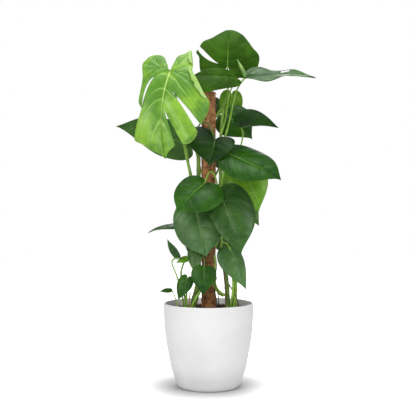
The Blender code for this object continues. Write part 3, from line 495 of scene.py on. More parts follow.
def bendBlade(shape, x, y, lift=0.0):
    # bends flat blade points into space: z is the upper side
    along = np.linspace(-0.6, 1.05, 140)
    angle = -shape["droop"] * np.clip(along, 0.0, None)
    angle = angle - shape["tipDrop"] * np.clip((along - 0.65) / 0.35, 0.0, None) ** 2
    step = along[1] - along[0]
    run = np.r_[0.0, np.cumsum((np.cos(angle)[1:] + np.cos(angle)[:-1]) * step / 2.0)]
    rise = np.r_[0.0, np.cumsum((np.sin(angle)[1:] + np.sin(angle)[:-1]) * step / 2.0)]
    cy = np.interp(y, along, run) - np.interp(0.0, along, run)
    cz = np.interp(y, along, rise) - np.interp(0.0, along, rise)
    tilt = np.interp(y, along, angle)
    side = np.sign(x)
    out = np.abs(x) / shape["half"]
    across = np.zeros_like(x)
    height = np.zeros_like(x)
    for i in range(12):
        part = out * (i + 0.5) / 12.0
        slope = shape["fold"] - shape["cup"] * part
        across += np.cos(slope) * out / 12.0
        height += np.sin(slope) * out / 12.0
    across = across * shape["half"] * side
    height = height * shape["half"] + lift
    ripple = np.sin(2.0 * np.pi * shape["waves"] * y + shape["phase"] + 1.3 * (side > 0.0))
    height = height + shape["wave"] * shape["half"] * out ** 2 * ripple
    turn = shape["twist"] * (y - 0.3)
    ax = across * np.cos(turn) - height * np.sin(turn)
    ah = across * np.sin(turn) + height * np.cos(turn)
    return np.stack([ax + shape["bow"] * y * y, cy - np.sin(tilt) * ah, cz + np.cos(tilt) * ah], -1)


def setBlade(shape, local):
    # moves bent points so the joint and the tip land on their places
    base, tip = np.array(shape["base"]), np.array(shape["tip"])
    end = bendBlade(shape, np.array([0.0]), np.array([1.0]))[0]
    size = np.linalg.norm(end)
    ly = end / size
    lz = np.array([0.0, 0.0, 1.0]) - ly * ly[2]
    lz = lz / np.linalg.norm(lz)
    q = local @ np.stack([np.cross(ly, lz), ly, lz]).T
    chord = np.linalg.norm(tip - base)
    ey = (tip - base) / chord
    face = np.array(shape["face"], float)
    ez = face - ey * (face @ ey)
    ez = ez / np.linalg.norm(ez)
    ex = np.cross(ey, ez)
    return base + chord / size * (q[..., :1] * ex + q[..., 1:2] * ey + q[..., 2:3] * ez)


def quiltHeight(shape, across, along):
    # tissue swells between the side veins and sinks to the midrib
    phase = along * shape["veins"]
    away = 0.5 - np.abs(phase - np.floor(phase) - 0.5)
    swell = 1.0 - np.exp(-(away / 0.16) ** 2)
    fade = np.clip(across / 0.15, 0.0, 1.0) * np.clip((1.0 - across) / 0.25, 0.0, 1.0) ** 0.5
    return bladeMesh["quilt"] * swell * fade - bladeMesh["groove"] * np.exp(-(across / 0.035) ** 2)


def bladeSheet(spec, steps, rows):
    shape = dict(bladeShape)
    shape.update(spec)
    points, faces, maps, index = [], [], [], {}
    for side, x, y, across, along in bladePatches(shape, steps, rows):
        placed = setBlade(shape, bendBlade(shape, x, y, quiltHeight(shape, across, along)))
        count, cols = x.shape
        ids = np.zeros((count, cols), int)
        for i in range(count):
            for j in range(cols):
                key = (round(float(x[i, j]), 5), round(float(y[i, j]), 5))
                if key not in index:
                    index[key] = len(points)
                    points.append(placed[i, j])
                ids[i, j] = index[key]
        for i in range(count - 1):
            for j in range(cols - 1):
                ring = [(i, j), (i, j + 1), (i + 1, j + 1), (i + 1, j)]
                if side < 0:
                    ring.reverse()
                face, uv = [], []
                for a, b in ring:
                    if int(ids[a, b]) not in face:
                        face.append(int(ids[a, b]))
                        uv.append((float(across[a, b]), float(along[a, b])))
                if len(face) > 2:
                    faces.append(face)
                    maps.append(uv)
    return np.array(points), faces, maps


def solidBlade(name, spec):
    # closed thin body: upper skin, under skin and a narrow rim
    shape = dict(bladeShape)
    shape.update(spec)
    rows = int(shape["veins"] * bladeMesh["rowsPerVein"])
    points, faces, maps = bladeSheet(spec, bladeMesh["ribSteps"], rows)
    normal = np.zeros_like(points)
    for face in faces:
        corner = points[face]
        area = np.cross(corner[1] - corner[0], corner[2] - corner[0])
        if len(face) == 4:
            area = area + np.cross(corner[2] - corner[0], corner[3] - corner[0])
        for k in face:
            normal[k] += area
    normal = normal / np.linalg.norm(normal, axis=1)[:, None]
    half = bladeMesh["thickness"] / 2.0
    count = len(points)
    body = np.vstack([points + normal * half, points - normal * half])
    edges = {}
    for face, uv in zip(faces, maps):
        for k in range(len(face)):
            n = (k + 1) % len(face)
            edges[(face[k], face[n])] = (uv[k], uv[n])
    solid = [list(f) for f in faces] + [[k + count for k in reversed(f)] for f in faces]
    allMaps = list(maps) + [list(reversed(m)) for m in maps]
    slots = [0] * len(faces) + [1] * len(faces)
    for (a, b), (ua, ub) in edges.items():
        if (b, a) not in edges:
            solid.append([a + count, b + count, b, a])
            allMaps.append([ua, ub, ub, ua])
            slots.append(0)
    mesh = plainMesh(name, body, solid)
    layer = mesh.uv_layers.new(name="leafMap")
    layer.data.foreach_set("uv", [c for m in allMaps for uv in m for c in uv])
    mesh.polygons.foreach_set("material_index", slots)
    return mesh


def marginRoll(name, spec, side, start, stop, width):
    # strip of margin turned over onto the blade, a closed thin body that shows the pale under side
    shape = dict(bladeShape)
    shape.update(spec)
    half = dict(shape)
    half.update(shape["left" if side < 0 else "right"])
    outline, length = halfOutline(half)
    count, lanes = 36, 6
    share = np.linspace(start, stop, count)[:, None]
    run = np.linspace(0.0, 1.0, count)[:, None]
    lane = np.linspace(0.0, 1.0, lanes)[None]
    ex, ey = np.interp(share, length, outline[:, 0]), np.interp(share, length, outline[:, 1])
    dx, dy = np.gradient(ex[:, 0])[:, None], np.gradient(ey[:, 0])[:, None]
    size = np.hypot(dx, dy)
    spread = width * np.sin(np.pi * (0.04 + 0.92 * run)) ** 0.6 * (1.0 + 0.10 * np.sin(23.0 * run))
    x = ex - lane * spread * dy / size - 0.004 * dy / size
    y = ey + lane * spread * dx / size + 0.004 * dx / size
    lift = 0.010 + 0.030 * np.sin(np.pi * (0.05 + 0.80 * lane)) * spread / width
    points = [setBlade(shape, bendBlade(shape, x * side, y, lift - sink)).reshape(-1, 3)
              for sink in (0.0, 0.004)]
    faces, total = [], count * lanes
    for i in range(count - 1):
        for j in range(lanes - 1):
            ring = [i * lanes + j, (i + 1) * lanes + j, (i + 1) * lanes + j + 1, i * lanes + j + 1]
            faces += [ring, [k + total for k in reversed(ring)]]
    border = [i * lanes for i in range(count)] + [(count - 1) * lanes + j for j in range(1, lanes)]
    border += [i * lanes + lanes - 1 for i in range(count - 2, -1, -1)]
    border += list(range(lanes - 2, 0, -1))
    for a, b in zip(border, border[1:] + border[:1]):
        faces.append([b, a, a + total, b + total])
    mesh = plainMesh(name, np.vstack(points), faces)
    bm = bmesh.new()
    bm.from_mesh(mesh)
    bmesh.ops.recalc_face_normals(bm, faces=bm.faces)
    bm.to_mesh(mesh)
    bm.free()
    layer = mesh.uv_layers.new(name="leafMap")
    spots = np.array([(0.55, 0.02 * (k % total // lanes)) for k in range(2 * total)])
    corners = np.zeros(len(mesh.loops), int)
    mesh.loops.foreach_get("vertex_index", corners)
    layer.data.foreach_set("uv", spots[corners].ravel())
    return mesh


# Stems and stalks.

def smoothPath(stations, count):
    # even points along a smooth curve through the stations
    p = np.array(stations, float)
    if len(p) == 2:
        p = np.vstack([p[0], p.mean(0), p[1]])
    ends = np.vstack([2.0 * p[0] - p[1], p, 2.0 * p[-1] - p[-2]])
    fine = []
    for i in range(1, len(ends) - 2):
        a, b, c, d = ends[i - 1], ends[i], ends[i + 1], ends[i + 2]
        for t in np.linspace(0.0, 1.0, 12, endpoint=False):
            fine.append(0.5 * (2.0 * b + (c - a) * t + (2.0 * a - 5.0 * b + 4.0 * c - d) * t * t
                               + (3.0 * b - a - 3.0 * c + d) * t ** 3))
    fine.append(p[-1])
    fine = np.array(fine)
    length = np.r_[0.0, np.cumsum(np.linalg.norm(np.diff(fine, axis=0), axis=1))]
    at = np.linspace(0.0, length[-1], count)
    return np.stack([np.interp(at, length, fine[:, k]) for k in range(3)], -1)


def makeTubeTree():
    # sweeps a round section along a line of points; each point carries its own radius
    tree = bpy.data.node_groups.new("stalkSweep", "GeometryNodeTree")
    tree.interface.new_socket("Geometry", in_out="INPUT", socket_type="NodeSocketGeometry")
    sides = tree.interface.new_socket("Sides", in_out="INPUT", socket_type="NodeSocketInt")
    sides.default_value = 12
    tree.interface.new_socket("Skin", in_out="INPUT", socket_type="NodeSocketMaterial")
    tree.interface.new_socket("Geometry", in_out="OUTPUT", socket_type="NodeSocketGeometry")
    wire = Wiring(tree)
    inp, out = wire.add("NodeGroupInput"), wire.add("NodeGroupOutput")
    line = wire.add("GeometryNodeMeshToCurve", {"Mesh": inp.outputs["Geometry"]})
    width = wire.add("GeometryNodeInputNamedAttribute", {"Name": "width"}, data_type="FLOAT")
    sized = wire.add("GeometryNodeSetCurveRadius", {"Curve": line.outputs[0],
                                                    "Radius": width.outputs[0]})
    ring = wire.add("GeometryNodeCurvePrimitiveCircle", {"Resolution": inp.outputs["Sides"],
                                                         "Radius": 1.0})
    tube = wire.add("GeometryNodeCurveToMesh", {
        "Curve": sized.outputs[0], "Profile Curve": ring.outputs[0], "Scale": width.outputs[0],
        "Fill Caps": True})
    smooth = wire.add("GeometryNodeSetShadeSmooth", {"Geometry": tube.outputs[0]})
    skin = wire.add("GeometryNodeSetMaterial", {"Geometry": smooth.outputs[0],
                                                "Material": inp.outputs["Skin"]})
    real = wire.add("GeometryNodeRealizeInstances", {"Geometry": skin.outputs[0]})
    wire.feed(real.outputs[0], out.inputs[0])
    return tree


tubeTree = makeTubeTree()


def sweepTube(name, path, radii, sides, skin):
    mesh = bpy.data.meshes.new(name)
    steps = [(i, i + 1) for i in range(len(path) - 1)]
    mesh.from_pydata([tuple(map(float, p)) for p in path], steps, [])
    mesh.attributes.new("width", "FLOAT", "POINT").data.foreach_set("value", [float(r) for r in radii])
    obj = newObject(name, mesh)
    return bakeTree(obj, tubeTree, (("Sides", sides), ("Skin", skin)))


def joinMeshes(name, parts):
    # parts: (mesh, materials); puts them in one mesh, each with its own material slots
    bm = bmesh.new()
    materials = []
    for mesh, skins in parts:
        before = len(bm.faces)
        bm.from_mesh(mesh)
        bm.faces.ensure_lookup_table()
        for i in range(before, len(bm.faces)):
            bm.faces[i].material_index += len(materials)
        materials += skins
    mesh = bpy.data.meshes.new(name)
    bm.to_mesh(mesh)
    bm.free()
    for skin in materials:
        mesh.materials.append(skin)
    return mesh


# Leaves.

# Every leaf: joint, tip, direction its upper side faces, and the stalk's way
# from its stem or from the mix to the joint. Left and right are seen walking
# from the joint to the tip on the upper side. Split: side, place along the
# margin, where it starts and ends on the rib (1 = open margin), width.
leaves = {
    "crownLeaf": {
        "node": "leaf_crown", "finish": "crown", "veins": 9, "base": (0.064, -0.005, 1.08),
        "tip": (0.07, 0.045, 1.218), "face": (0.0, -1.0, 0.35), "half": 0.7, "fold": 0.1, "cup": 0.3,
        "round": 0.03,
        "roots": ((0.0, 0.0), (0.45, 0.0), (0.62, 0.04), (0.75, 0.3), (0.9, 0.7), (1.0, 1.0)),
        "ribs": ((0.0, 0.0, 0.55), (0.62, 0.0, 0.55), (1.0, 0.2, 0.5)),
        "left": {
            "margin": ((0.0, 0.0), (0.106, -0.16), (0.31, -0.26), (0.531, -0.23), (0.619, -0.1),
                       (0.65, 0.09), (0.668, 0.24), (0.752, 0.37), (0.704, 0.47), (0.677, 0.53),
                       (0.619, 0.61), (0.544, 0.665), (0.403, 0.72), (0.261, 0.825), (0.142, 0.92),
                       (0.053, 0.985), (0.0, 1.0)),
        },
        "right": {
            "margin": ((0.0, 0.0), (0.106, -0.14), (0.31, -0.24), (0.531, -0.19), (0.664, -0.02),
                       (0.717, 0.13), (0.728, 0.275), (0.686, 0.385), (0.571, 0.505), (0.451, 0.68),
                       (0.332, 0.84), (0.19, 0.945), (0.08, 0.99), (0.0, 1.0)),
        },
        "splits": ((-1, 0.62, 0.28, 1.0, 0.2, 0.8),), "from": ("rearStem", 0.88),
        "stalk": ((0.06, 0.05, 0.98), (0.067, 0.03, 1.05)), "radius": (0.0045, 0.0028),
    },
    "topRightLeaf": {
        "node": "leaf_top_right", "finish": "soft", "veins": 8, "base": (0.132, -0.044, 1.044),
        "tip": (0.357, -0.062, 1.036), "face": (0.0, -0.5, 0.86), "half": 0.23, "widest": 0.4,
        "shoulder": 0.75, "lobe": 0.1, "twist": 0.35, "droop": 0.25, "wave": 0.16, "waves": 1.6,
        "phase": 0.6, "fold": 0.3, "cup": 0.45, "splits": ((-1, 0.68, 0.2, 0.83, 0.17),),
        "from": ("rightStem", 0.79),
        "stalk": ((0.07, -0.04, 0.895), (0.09, -0.046, 0.985), (0.113, -0.044, 1.028)),
        "radius": (0.0045, 0.0028),
    },
    "freshSplitLeaf": {
        "node": "leaf_fresh", "finish": "fresh", "veins": 11, "base": (-0.125, -0.11, 1.051),
        "tip": (-0.138, -0.17, 0.758), "face": (-0.05, -0.97, 0.25), "half": 0.42, "droop": 0.6,
        "cup": 0.5, "bow": -0.24, "round": 0.03,
        "roots": ((0.0, 0.0), (0.57, 0.0), (0.62, 0.02), (0.7, 0.2), (0.87, 0.43), (1.0, 1.0)),
        "left": {
            "margin": ((0.0, 0.0), (0.016, -0.067), (0.004, -0.166), (0.019, -0.222), (0.076, -0.266),
                       (0.11, -0.329), (0.159, -0.253), (0.215, -0.143), (0.239, -0.058),
                       (0.335, 0.034), (0.443, 0.161), (0.521, 0.232), (0.53, 0.363), (0.483, 0.504),
                       (0.445, 0.572), (0.42, 0.647), (0.333, 0.754), (0.25, 0.802), (0.177, 0.83),
                       (0.099, 0.874), (0.041, 0.934), (0.0, 1.0)),
            "ribs": ((0.0, -0.1, 0.5), (0.7, 0.325, 0.47), (0.87, 0.42, 0.5), (1.0, 0.42, 0.5)),
        },
        "right": {
            "margin": ((0.0, 0.0), (0.06, -0.069), (0.126, -0.15), (0.196, -0.166), (0.283, -0.133),
                       (0.32, -0.064), (0.331, 0.002), (0.273, 0.17), (0.264, 0.312), (0.27, 0.467),
                       (0.247, 0.53), (0.218, 0.573), (0.212, 0.601), (0.238, 0.676), (0.28, 0.778),
                       (0.338, 0.878), (0.242, 0.907), (0.122, 0.945), (0.037, 0.961), (0.0, 1.0)),
            "ribs": ((0.0, -0.1, 0.5), (0.62, -0.1, 0.88), (0.75, 0.1, 0.6), (1.0, 0.3, 0.5)),
        },
        "splits": ((1, 0.617, 0.52, 1.0, 0.1, 0.7), (-1, 0.7, 0.23, 1.0, 0.062, 0.25),
                   (-1, 0.87, 0.2, 1.0, 0.055, 0.15)),
        "from": ("leftStem", 0.64),
        "stalk": ((-0.06, -0.035, 0.715), (-0.088, -0.06, 0.85), (-0.11, -0.08, 0.98)),
        "radius": (0.0066, 0.0035),
    },
    "underCrownLeaf": {
        "node": "leaf_under_crown", "finish": "crown", "veins": 8, "base": (0.097, -0.06, 1.032),
        "tip": (-0.05, -0.098, 1.036), "face": (0.05, -0.85, 0.52), "half": 0.4, "fold": 0.2,
        "cup": 0.4,
        "left": {
            "margin": ((0.0, 0.0), (0.05, -0.06), (0.14, -0.05), (0.26, 0.08), (0.34, 0.3),
                       (0.42, 0.58), (0.47, 0.78), (0.36, 0.88), (0.14, 0.92), (0.0, 1.0)),
        },
        "right": {
            "margin": ((0.0, 0.0), (0.04, -0.05), (0.1, -0.04), (0.17, 0.1), (0.19, 0.35), (0.17, 0.6),
                       (0.1, 0.82), (0.04, 0.94), (0.0, 1.0)),
        },
        "from": ("rightStem", 0.85), "stalk": ((0.056, -0.046, 0.9), (0.07, -0.062, 0.985)),
        "radius": (0.0035, 0.0025),
    },
    "oliveSideLeaf": {
        "node": "leaf_left_olive", "finish": "mature", "veins": 9, "base": (-0.078, 0.0, 0.822),
        "tip": (-0.32, 0.04, 0.885), "face": (0.15, 0.75, 0.6), "half": 0.32, "widest": 0.3,
        "from": ("leftStem", 0.6), "stalk": ((-0.062, 0.006, 0.7), (-0.07, 0.01, 0.78)),
        "radius": (0.0045, 0.0028),
    },
    "darkCentreLeaf": {
        "node": "leaf_centre_dark", "finish": "deep", "veins": 8, "skin": "dark",
        "base": (0.022, -0.075, 0.828), "tip": (0.004, -0.12, 0.738), "face": (0.05, -0.8, 0.6),
        "half": 0.9, "widest": 0.12, "lobe": 0.3, "fold": 0.35, "cup": 0.4, "shoulder": 0.55,
        "right": {"half": 0.98, "lobe": 0.42}, "left": {"half": 0.66, "lobe": 0.16},
        "from": ("leftStem", 0.79), "stalk": ((-0.036, -0.05, 0.87), (-0.004, -0.06, 0.885)),
        "radius": (0.004, 0.0025),
    },
    # its light body tones are painted back light: the leaf sits in shade
    "sunnyBackLeaf": {
        "node": "leaf_back_lit", "finish": "bright", "veins": 8, "base": (0.08, 0.068, 1.0),
        "tip": (0.072, 0.104, 0.89), "face": (0.1, 0.95, 0.35), "half": 0.36,
        "from": ("rearStem", 0.85), "stalk": ((0.04, 0.056, 0.93), (0.068, 0.062, 0.985)),
        "radius": (0.0035, 0.0022),
    },
    "darkInnerLeaf": {
        "node": "leaf_dark_behind", "finish": "mature", "veins": 8, "skin": "dark",
        "base": (0.064, 0.038, 0.925), "tip": (0.15, 0.02, 0.838), "face": (0.1, -0.9, 0.35),
        "half": 0.56, "from": ("rearStem", 0.76), "stalk": ((0.04, 0.052, 0.85), (0.058, 0.05, 0.905)),
        "radius": (0.0035, 0.0022),
    },
    "foldedRightLeaf": {
        "node": "leaf_right_mid", "finish": "deep", "veins": 8, "base": (0.108, -0.06, 0.872),
        "tip": (0.232, -0.075, 0.868), "face": (0.0, -0.6, 0.8), "half": 0.53, "widest": 0.15,
        "fold": 0.6, "cup": 0.25, "lobe": 0.22, "from": ("rightStem", 0.7),
        "stalk": ((0.076, -0.016, 0.755), (0.106, -0.024, 0.806), (0.114, -0.046, 0.848)),
        "radius": (0.004, 0.0028),
    },
    "smallRightLeaf": {
        "node": "leaf_right_small", "finish": "deep", "veins": 7, "skin": "dark",
        "base": (0.074, 0.006, 0.806), "tip": (0.14, 0.014, 0.784), "face": (0.0, -0.75, 0.65),
        "half": 0.4, "from": ("rightStem", 0.74), "stalk": ((0.062, -0.006, 0.78),),
        "radius": (0.003, 0.002),
    },
    "glossyRightLeaf": {
        "node": "leaf_right_glossy", "finish": "mature", "veins": 9, "base": (0.07, -0.095, 0.78),
        "tip": (0.236, -0.12, 0.692), "face": (0.05, -0.7, 0.7), "half": 0.43, "widest": 0.34,
        "shoulder": 0.6, "droop": 0.3, "tipDrop": 0.6, "lobe": 0.15, "bow": -0.12,
        "from": ("rightStem", 0.64), "stalk": ((0.046, -0.065, 0.7), (0.058, -0.085, 0.765)),
        "radius": (0.0045, 0.0028),
    },
    "freshRightLeaf": {
        "node": "leaf_right_fresh", "finish": "bright", "veins": 9, "base": (0.126, -0.035, 0.73),
        "tip": (0.166, -0.062, 0.588), "face": (0.15, -0.95, 0.25), "half": 0.5, "widest": 0.2,
        "left": {"half": 0.44}, "right": {"half": 0.64}, "splits": ((-1, 0.52, 0.5, 0.83, 0.06),),
        "from": ("rightStem", 0.56), "stalk": ((0.08, -0.02, 0.66), (0.114, -0.022, 0.715)),
        "radius": (0.0045, 0.0028),
    },
    "frontHeartLeaf": {
        "node": "leaf_front_heart", "finish": "mature", "veins": 9, "base": (-0.014, -0.11, 0.683),
        "tip": (-0.102, -0.18, 0.588), "face": (-0.1, -0.85, 0.5), "half": 0.62, "widest": 0.2,
        "lobe": 0.2, "shoulder": 0.6, "bow": -0.06,
        "right": {"half": 0.43, "shoulder": 0.8, "lobe": 0.14},
        "left": {"half": 0.62, "shoulder": 0.75}, "from": ("rightStem", 0.59),
        "stalk": ((0.024, -0.07, 0.7), (0.004, -0.092, 0.722)), "radius": (0.0045, 0.0026),
    },
    "frontRightLeaf": {
        "node": "leaf_front_right", "finish": "soft", "veins": 9, "base": (0.037, -0.092, 0.652),
        "tip": (0.105, -0.142, 0.453), "face": (0.1, -0.95, 0.3), "half": 0.4, "widest": 0.28,
        "shoulder": 0.6, "right": {"half": 0.27}, "left": {"half": 0.45}, "from": ("rightStem", 0.48),
        "stalk": ((0.045, -0.066, 0.59),), "radius": (0.005, 0.003),
    },
    "frontLeftLeaf": {
        "node": "leaf_front_left", "finish": "paintedSheen", "veins": 9, "base": (-0.047, -0.065, 0.61),
        "tip": (-0.007, -0.11, 0.441), "face": (-0.05, -0.95, 0.3), "half": 0.48, "widest": 0.3,
        "shoulder": 0.75, "right": {"half": 0.46}, "left": {"half": 0.46}, "from": ("leftStem", 0.44),
        "stalk": ((-0.052, -0.04, 0.56),), "radius": (0.005, 0.003),
    },
    "pointedLeftLeaf": {
        "node": "leaf_left_point", "finish": "mature", "veins": 8, "base": (-0.078, -0.01, 0.548),
        "tip": (-0.203, -0.04, 0.52), "face": (0.0, -0.15, 1.0), "half": 0.36,
        "from": ("leftStem", 0.41), "stalk": ((-0.056, -0.008, 0.5),), "radius": (0.0035, 0.0022),
    },
    "lowRightLeaf": {
        "node": "leaf_low_right", "finish": "paintedSheen", "veins": 8, "base": (0.073, -0.08, 0.465),
        "tip": (0.121, -0.115, 0.337), "face": (0.25, -0.92, 0.3), "half": 0.4, "widest": 0.22,
        "right": {"half": 0.4}, "left": {"half": 0.2}, "from": ("rightStem", 0.43),
        "stalk": ((0.042, -0.062, 0.485), (0.06, -0.072, 0.485)), "radius": (0.0035, 0.0024),
    },
    "lowHeartLeaf": {
        "node": "leaf_low_heart", "finish": "mature", "veins": 8, "skin": "dark",
        "base": (-0.015, -0.1, 0.408), "tip": (-0.018, -0.116, 0.318), "face": (0.0, -0.95, 0.3),
        "half": 0.46, "widest": 0.24, "lobe": 0.12, "from": ("leftStem", 0.36),
        "stalk": ((-0.026, -0.08, 0.43), (-0.014, -0.092, 0.438)), "radius": (0.003, 0.002),
    },
    "backRightLeaf": {
        "node": "leaf_behind_right", "finish": "paintedPaleSheen", "veins": 8, "base": (0.104, -0.002, 0.65),
        "tip": (0.172, 0.02, 0.541), "face": (0.4, -0.9, 0.2), "half": 0.32,
        "stalk": ((0.084, -0.046, 0.245), (0.09, -0.044, 0.35), (0.094, -0.02, 0.5),
                  (0.1, -0.004, 0.61)),
        "radius": (0.0098, 0.0028),
    },
    "lowGreyLeaf": {
        "node": "leaf_low_grey", "finish": "paintedPaleSheen", "veins": 7, "base": (-0.04, -0.036, 0.474),
        "tip": (-0.048, -0.06, 0.388), "face": (-0.3, -0.9, 0.2), "half": 0.34,
        "from": ("leftStem", 0.395), "stalk": ((-0.046, -0.03, 0.45),), "radius": (0.003, 0.002),
    },
    "youngTallLeaf": {
        "node": "leaf_young_tall", "finish": "soft", "veins": 6, "base": (-0.1, -0.04, 0.436),
        "tip": (-0.138, -0.045, 0.499), "face": (-0.5, -0.8, 0.2), "half": 0.19, "widest": 0.35,
        "lobe": 0.05, "fold": 0.3,
        "stalk": ((-0.074, -0.04, 0.245), (-0.102, -0.045, 0.362), (-0.122, -0.048, 0.418),
                  (-0.114, -0.044, 0.434)),
        "radius": (0.004, 0.0023),
    },
    "youngLeftLeaf": {
        "node": "leaf_young_left", "finish": "bright", "veins": 6, "base": (-0.07, -0.03, 0.436),
        "tip": (-0.108, -0.042, 0.418), "face": (-0.2, -0.7, 0.7), "half": 0.36, "widest": 0.3,
        "lobe": 0.1,
        "stalk": ((-0.066, -0.022, 0.245), (-0.092, -0.024, 0.361), (-0.086, -0.024, 0.412)),
        "radius": (0.0048, 0.0032),
    },
    "youngLowLeaf": {
        "node": "leaf_young_low", "finish": "mature", "veins": 7, "base": (-0.07, -0.09, 0.373),
        "tip": (-0.099, -0.105, 0.302), "face": (-0.2, -0.95, 0.3), "half": 0.34,
        "stalk": ((-0.074, -0.066, 0.245), (-0.072, -0.078, 0.34)), "radius": (0.005, 0.0028),
    },
    "youngTinyLeaf": {
        "node": "leaf_young_tiny", "finish": "mature", "veins": 5, "base": (-0.123, -0.05, 0.33),
        "tip": (-0.163, -0.056, 0.324), "face": (-0.1, -0.6, 0.8), "half": 0.3, "widest": 0.35,
        "lobe": 0.08, "stalk": ((-0.092, -0.056, 0.245), (-0.111, -0.052, 0.304)),
        "radius": (0.0026, 0.0019),
    },
    "rearTopLeaf": {
        "node": "leaf_rear_top", "finish": "mature", "veins": 9, "base": (-0.006, 0.098, 0.986),
        "tip": (-0.002, 0.195, 0.898), "face": (0.1, 0.75, 0.65), "half": 0.46,
        "from": ("rearStem", 0.82), "stalk": ((0.0, 0.062, 0.905), (0.0, 0.08, 0.965)),
        "radius": (0.0045, 0.0026),
    },
    "rearLeftLeaf": {
        "node": "leaf_rear_left", "finish": "mature", "veins": 9, "base": (-0.055, 0.075, 0.842),
        "tip": (-0.118, 0.19, 0.798), "face": (-0.1, 0.4, 0.92), "half": 0.44,
        "splits": ((-1, 0.62, 0.4, 1.0, 0.05), (1, 0.66, 0.4, 1.0, 0.05)), "from": ("rearStem", 0.64),
        "stalk": ((-0.03, 0.062, 0.745),), "radius": (0.005, 0.0028),
    },
    "rearRightLeaf": {
        "node": "leaf_rear_right", "finish": "deep", "veins": 9, "base": (0.06, 0.08, 0.8),
        "tip": (0.115, 0.19, 0.69), "face": (0.3, 0.75, 0.6), "half": 0.44,
        "splits": ((1, 0.58, 0.45, 1.0, 0.05),), "from": ("rearStem", 0.67),
        "stalk": ((0.038, 0.06, 0.745),), "radius": (0.0045, 0.0028),
    },
    "rearMiddleLeaf": {
        "node": "leaf_rear_middle", "finish": "mature", "veins": 9, "base": (0.0, 0.1, 0.67),
        "tip": (-0.006, 0.2, 0.51), "face": (0.0, 0.85, 0.5), "half": 0.45, "from": ("rearStem", 0.54),
        "stalk": ((0.002, 0.07, 0.63),), "radius": (0.0045, 0.0028),
    },
    "rearLowRightLeaf": {
        "node": "leaf_rear_low_right", "finish": "soft", "veins": 8, "base": (0.05, 0.08, 0.52),
        "tip": (0.09, 0.16, 0.4), "face": (0.35, 0.85, 0.4), "half": 0.42, "from": ("rearStem", 0.42),
        "stalk": ((0.03, 0.06, 0.48),), "radius": (0.004, 0.0024),
    },
    "rearLowLeftLeaf": {
        "node": "leaf_rear_low_left", "finish": "mature", "veins": 8, "base": (-0.026, 0.085, 0.5),
        "tip": (-0.044, 0.155, 0.4), "face": (-0.15, 0.9, 0.42), "half": 0.42,
        "from": ("rearStem", 0.37), "stalk": ((-0.018, 0.062, 0.44),), "radius": (0.004, 0.0024),
    },
}

stems = {
    "rightStem": {
        "node": "stem_right",
        "path": ((0.064, -0.03, 0.225), (0.062, -0.034, 0.33), (0.052, -0.036, 0.42),
                 (0.041, -0.031, 0.5), (0.04, -0.03, 0.7), (0.042, -0.028, 0.86), (0.05, -0.02, 0.935)),
        "radius": (0.0091, 0.0047), "joints": 11,
    },
    "leftStem": {
        "node": "stem_left",
        "path": ((-0.056, -0.048, 0.225), (-0.05, -0.05, 0.29), (-0.035, -0.03, 0.35),
                 (-0.034, -0.018, 0.42), (-0.034, -0.01, 0.6), (-0.034, -0.008, 0.82)),
        "radius": (0.0101, 0.0068), "joints": 9,
    },
    "rearStem": {
        "node": "stem_rear",
        "path": ((0.004, 0.06, 0.225), (0.002, 0.044, 0.32), (0.0, 0.035, 0.42), (0.0, 0.034, 0.7),
                 (0.002, 0.034, 0.88), (0.01, 0.03, 0.96)),
        "radius": (0.0078, 0.0047), "joints": 11,
    },
}

for name, stem in stems.items():
    path = smoothPath(stem["path"], 150)
    share = np.linspace(0.0, 1.0, 150)
    radii = stem["radius"][0] * (1.0 - share) + stem["radius"][1] * share
    ring = np.abs((share * stem["joints"] + 0.3) % 1.0 - 0.5) * 2.0  # 1 at a joint of the stem
    waist, knuckle = np.sin(np.pi * (1.0 - ring)), np.exp(-((1.0 - ring) / 0.09) ** 2)
    radii = radii * (1.0 - 0.06 * waist + 0.10 * knuckle)
    obj = sweepTube(name, path, radii, 20, stemSkin)
    setPiece(obj, [stem["node"]])
print("stems built")


def stalkPath(leaf, count):
    stations = list(leaf["stalk"]) + [leaf["base"]]
    if "from" in leaf:
        stem, height = leaf["from"]
        line = smoothPath(stems[stem]["path"], 80)
        stations = [tuple(np.interp(height, line[:, 2], line[:, k]) for k in range(3))] + stations
    return smoothPath(stations, count)


# where the margin is turned over: side, start and stop along the margin, width
marginRolls = {"freshSplitLeaf": ((-1, 0.190, 0.280, 0.050), (-1, 0.305, 0.500, 0.066))}

for name, leaf in leaves.items():
    blade = solidBlade(name, leaf)
    count = 40
    share = np.linspace(0.0, 1.0, count)
    radii = leaf["radius"][0] * (1.0 - share) ** 1.5 + leaf["radius"][1] * (1.0 - (1.0 - share) ** 1.5)
    knee = np.exp(-((share - 0.93) / 0.035) ** 2)  # swelling just under the blade
    radii = radii * (0.90 + 0.22 * knee)
    skin = darkStalkSkin if leaf.get("skin") == "dark" else stalkSkin
    stalk = sweepTube(name + "Stalk", stalkPath(leaf, count), radii, 12, skin)
    upper = bladeMaterial(leaf["finish"], leaf["veins"], False)
    under = bladeMaterial(leaf["finish"], leaf["veins"], True)
    rolls = []
    for roll in marginRolls.get(name, ()):
        turnedSkin = bladeMaterial("turnedMargin", leaf["veins"], True)
        rolls.append((marginRoll(name + "Roll", leaf, *roll), [turnedSkin]))
    mesh = joinMeshes(name, [(blade, [upper, under]), (stalk.data, [skin])] + rolls)
    bpy.data.objects.remove(stalk, do_unlink=True)
    obj = newObject(name, mesh)
    setPiece(obj, [leaf["node"]])
print("leaves built")


# Rolled leaf, sheaths and roots.

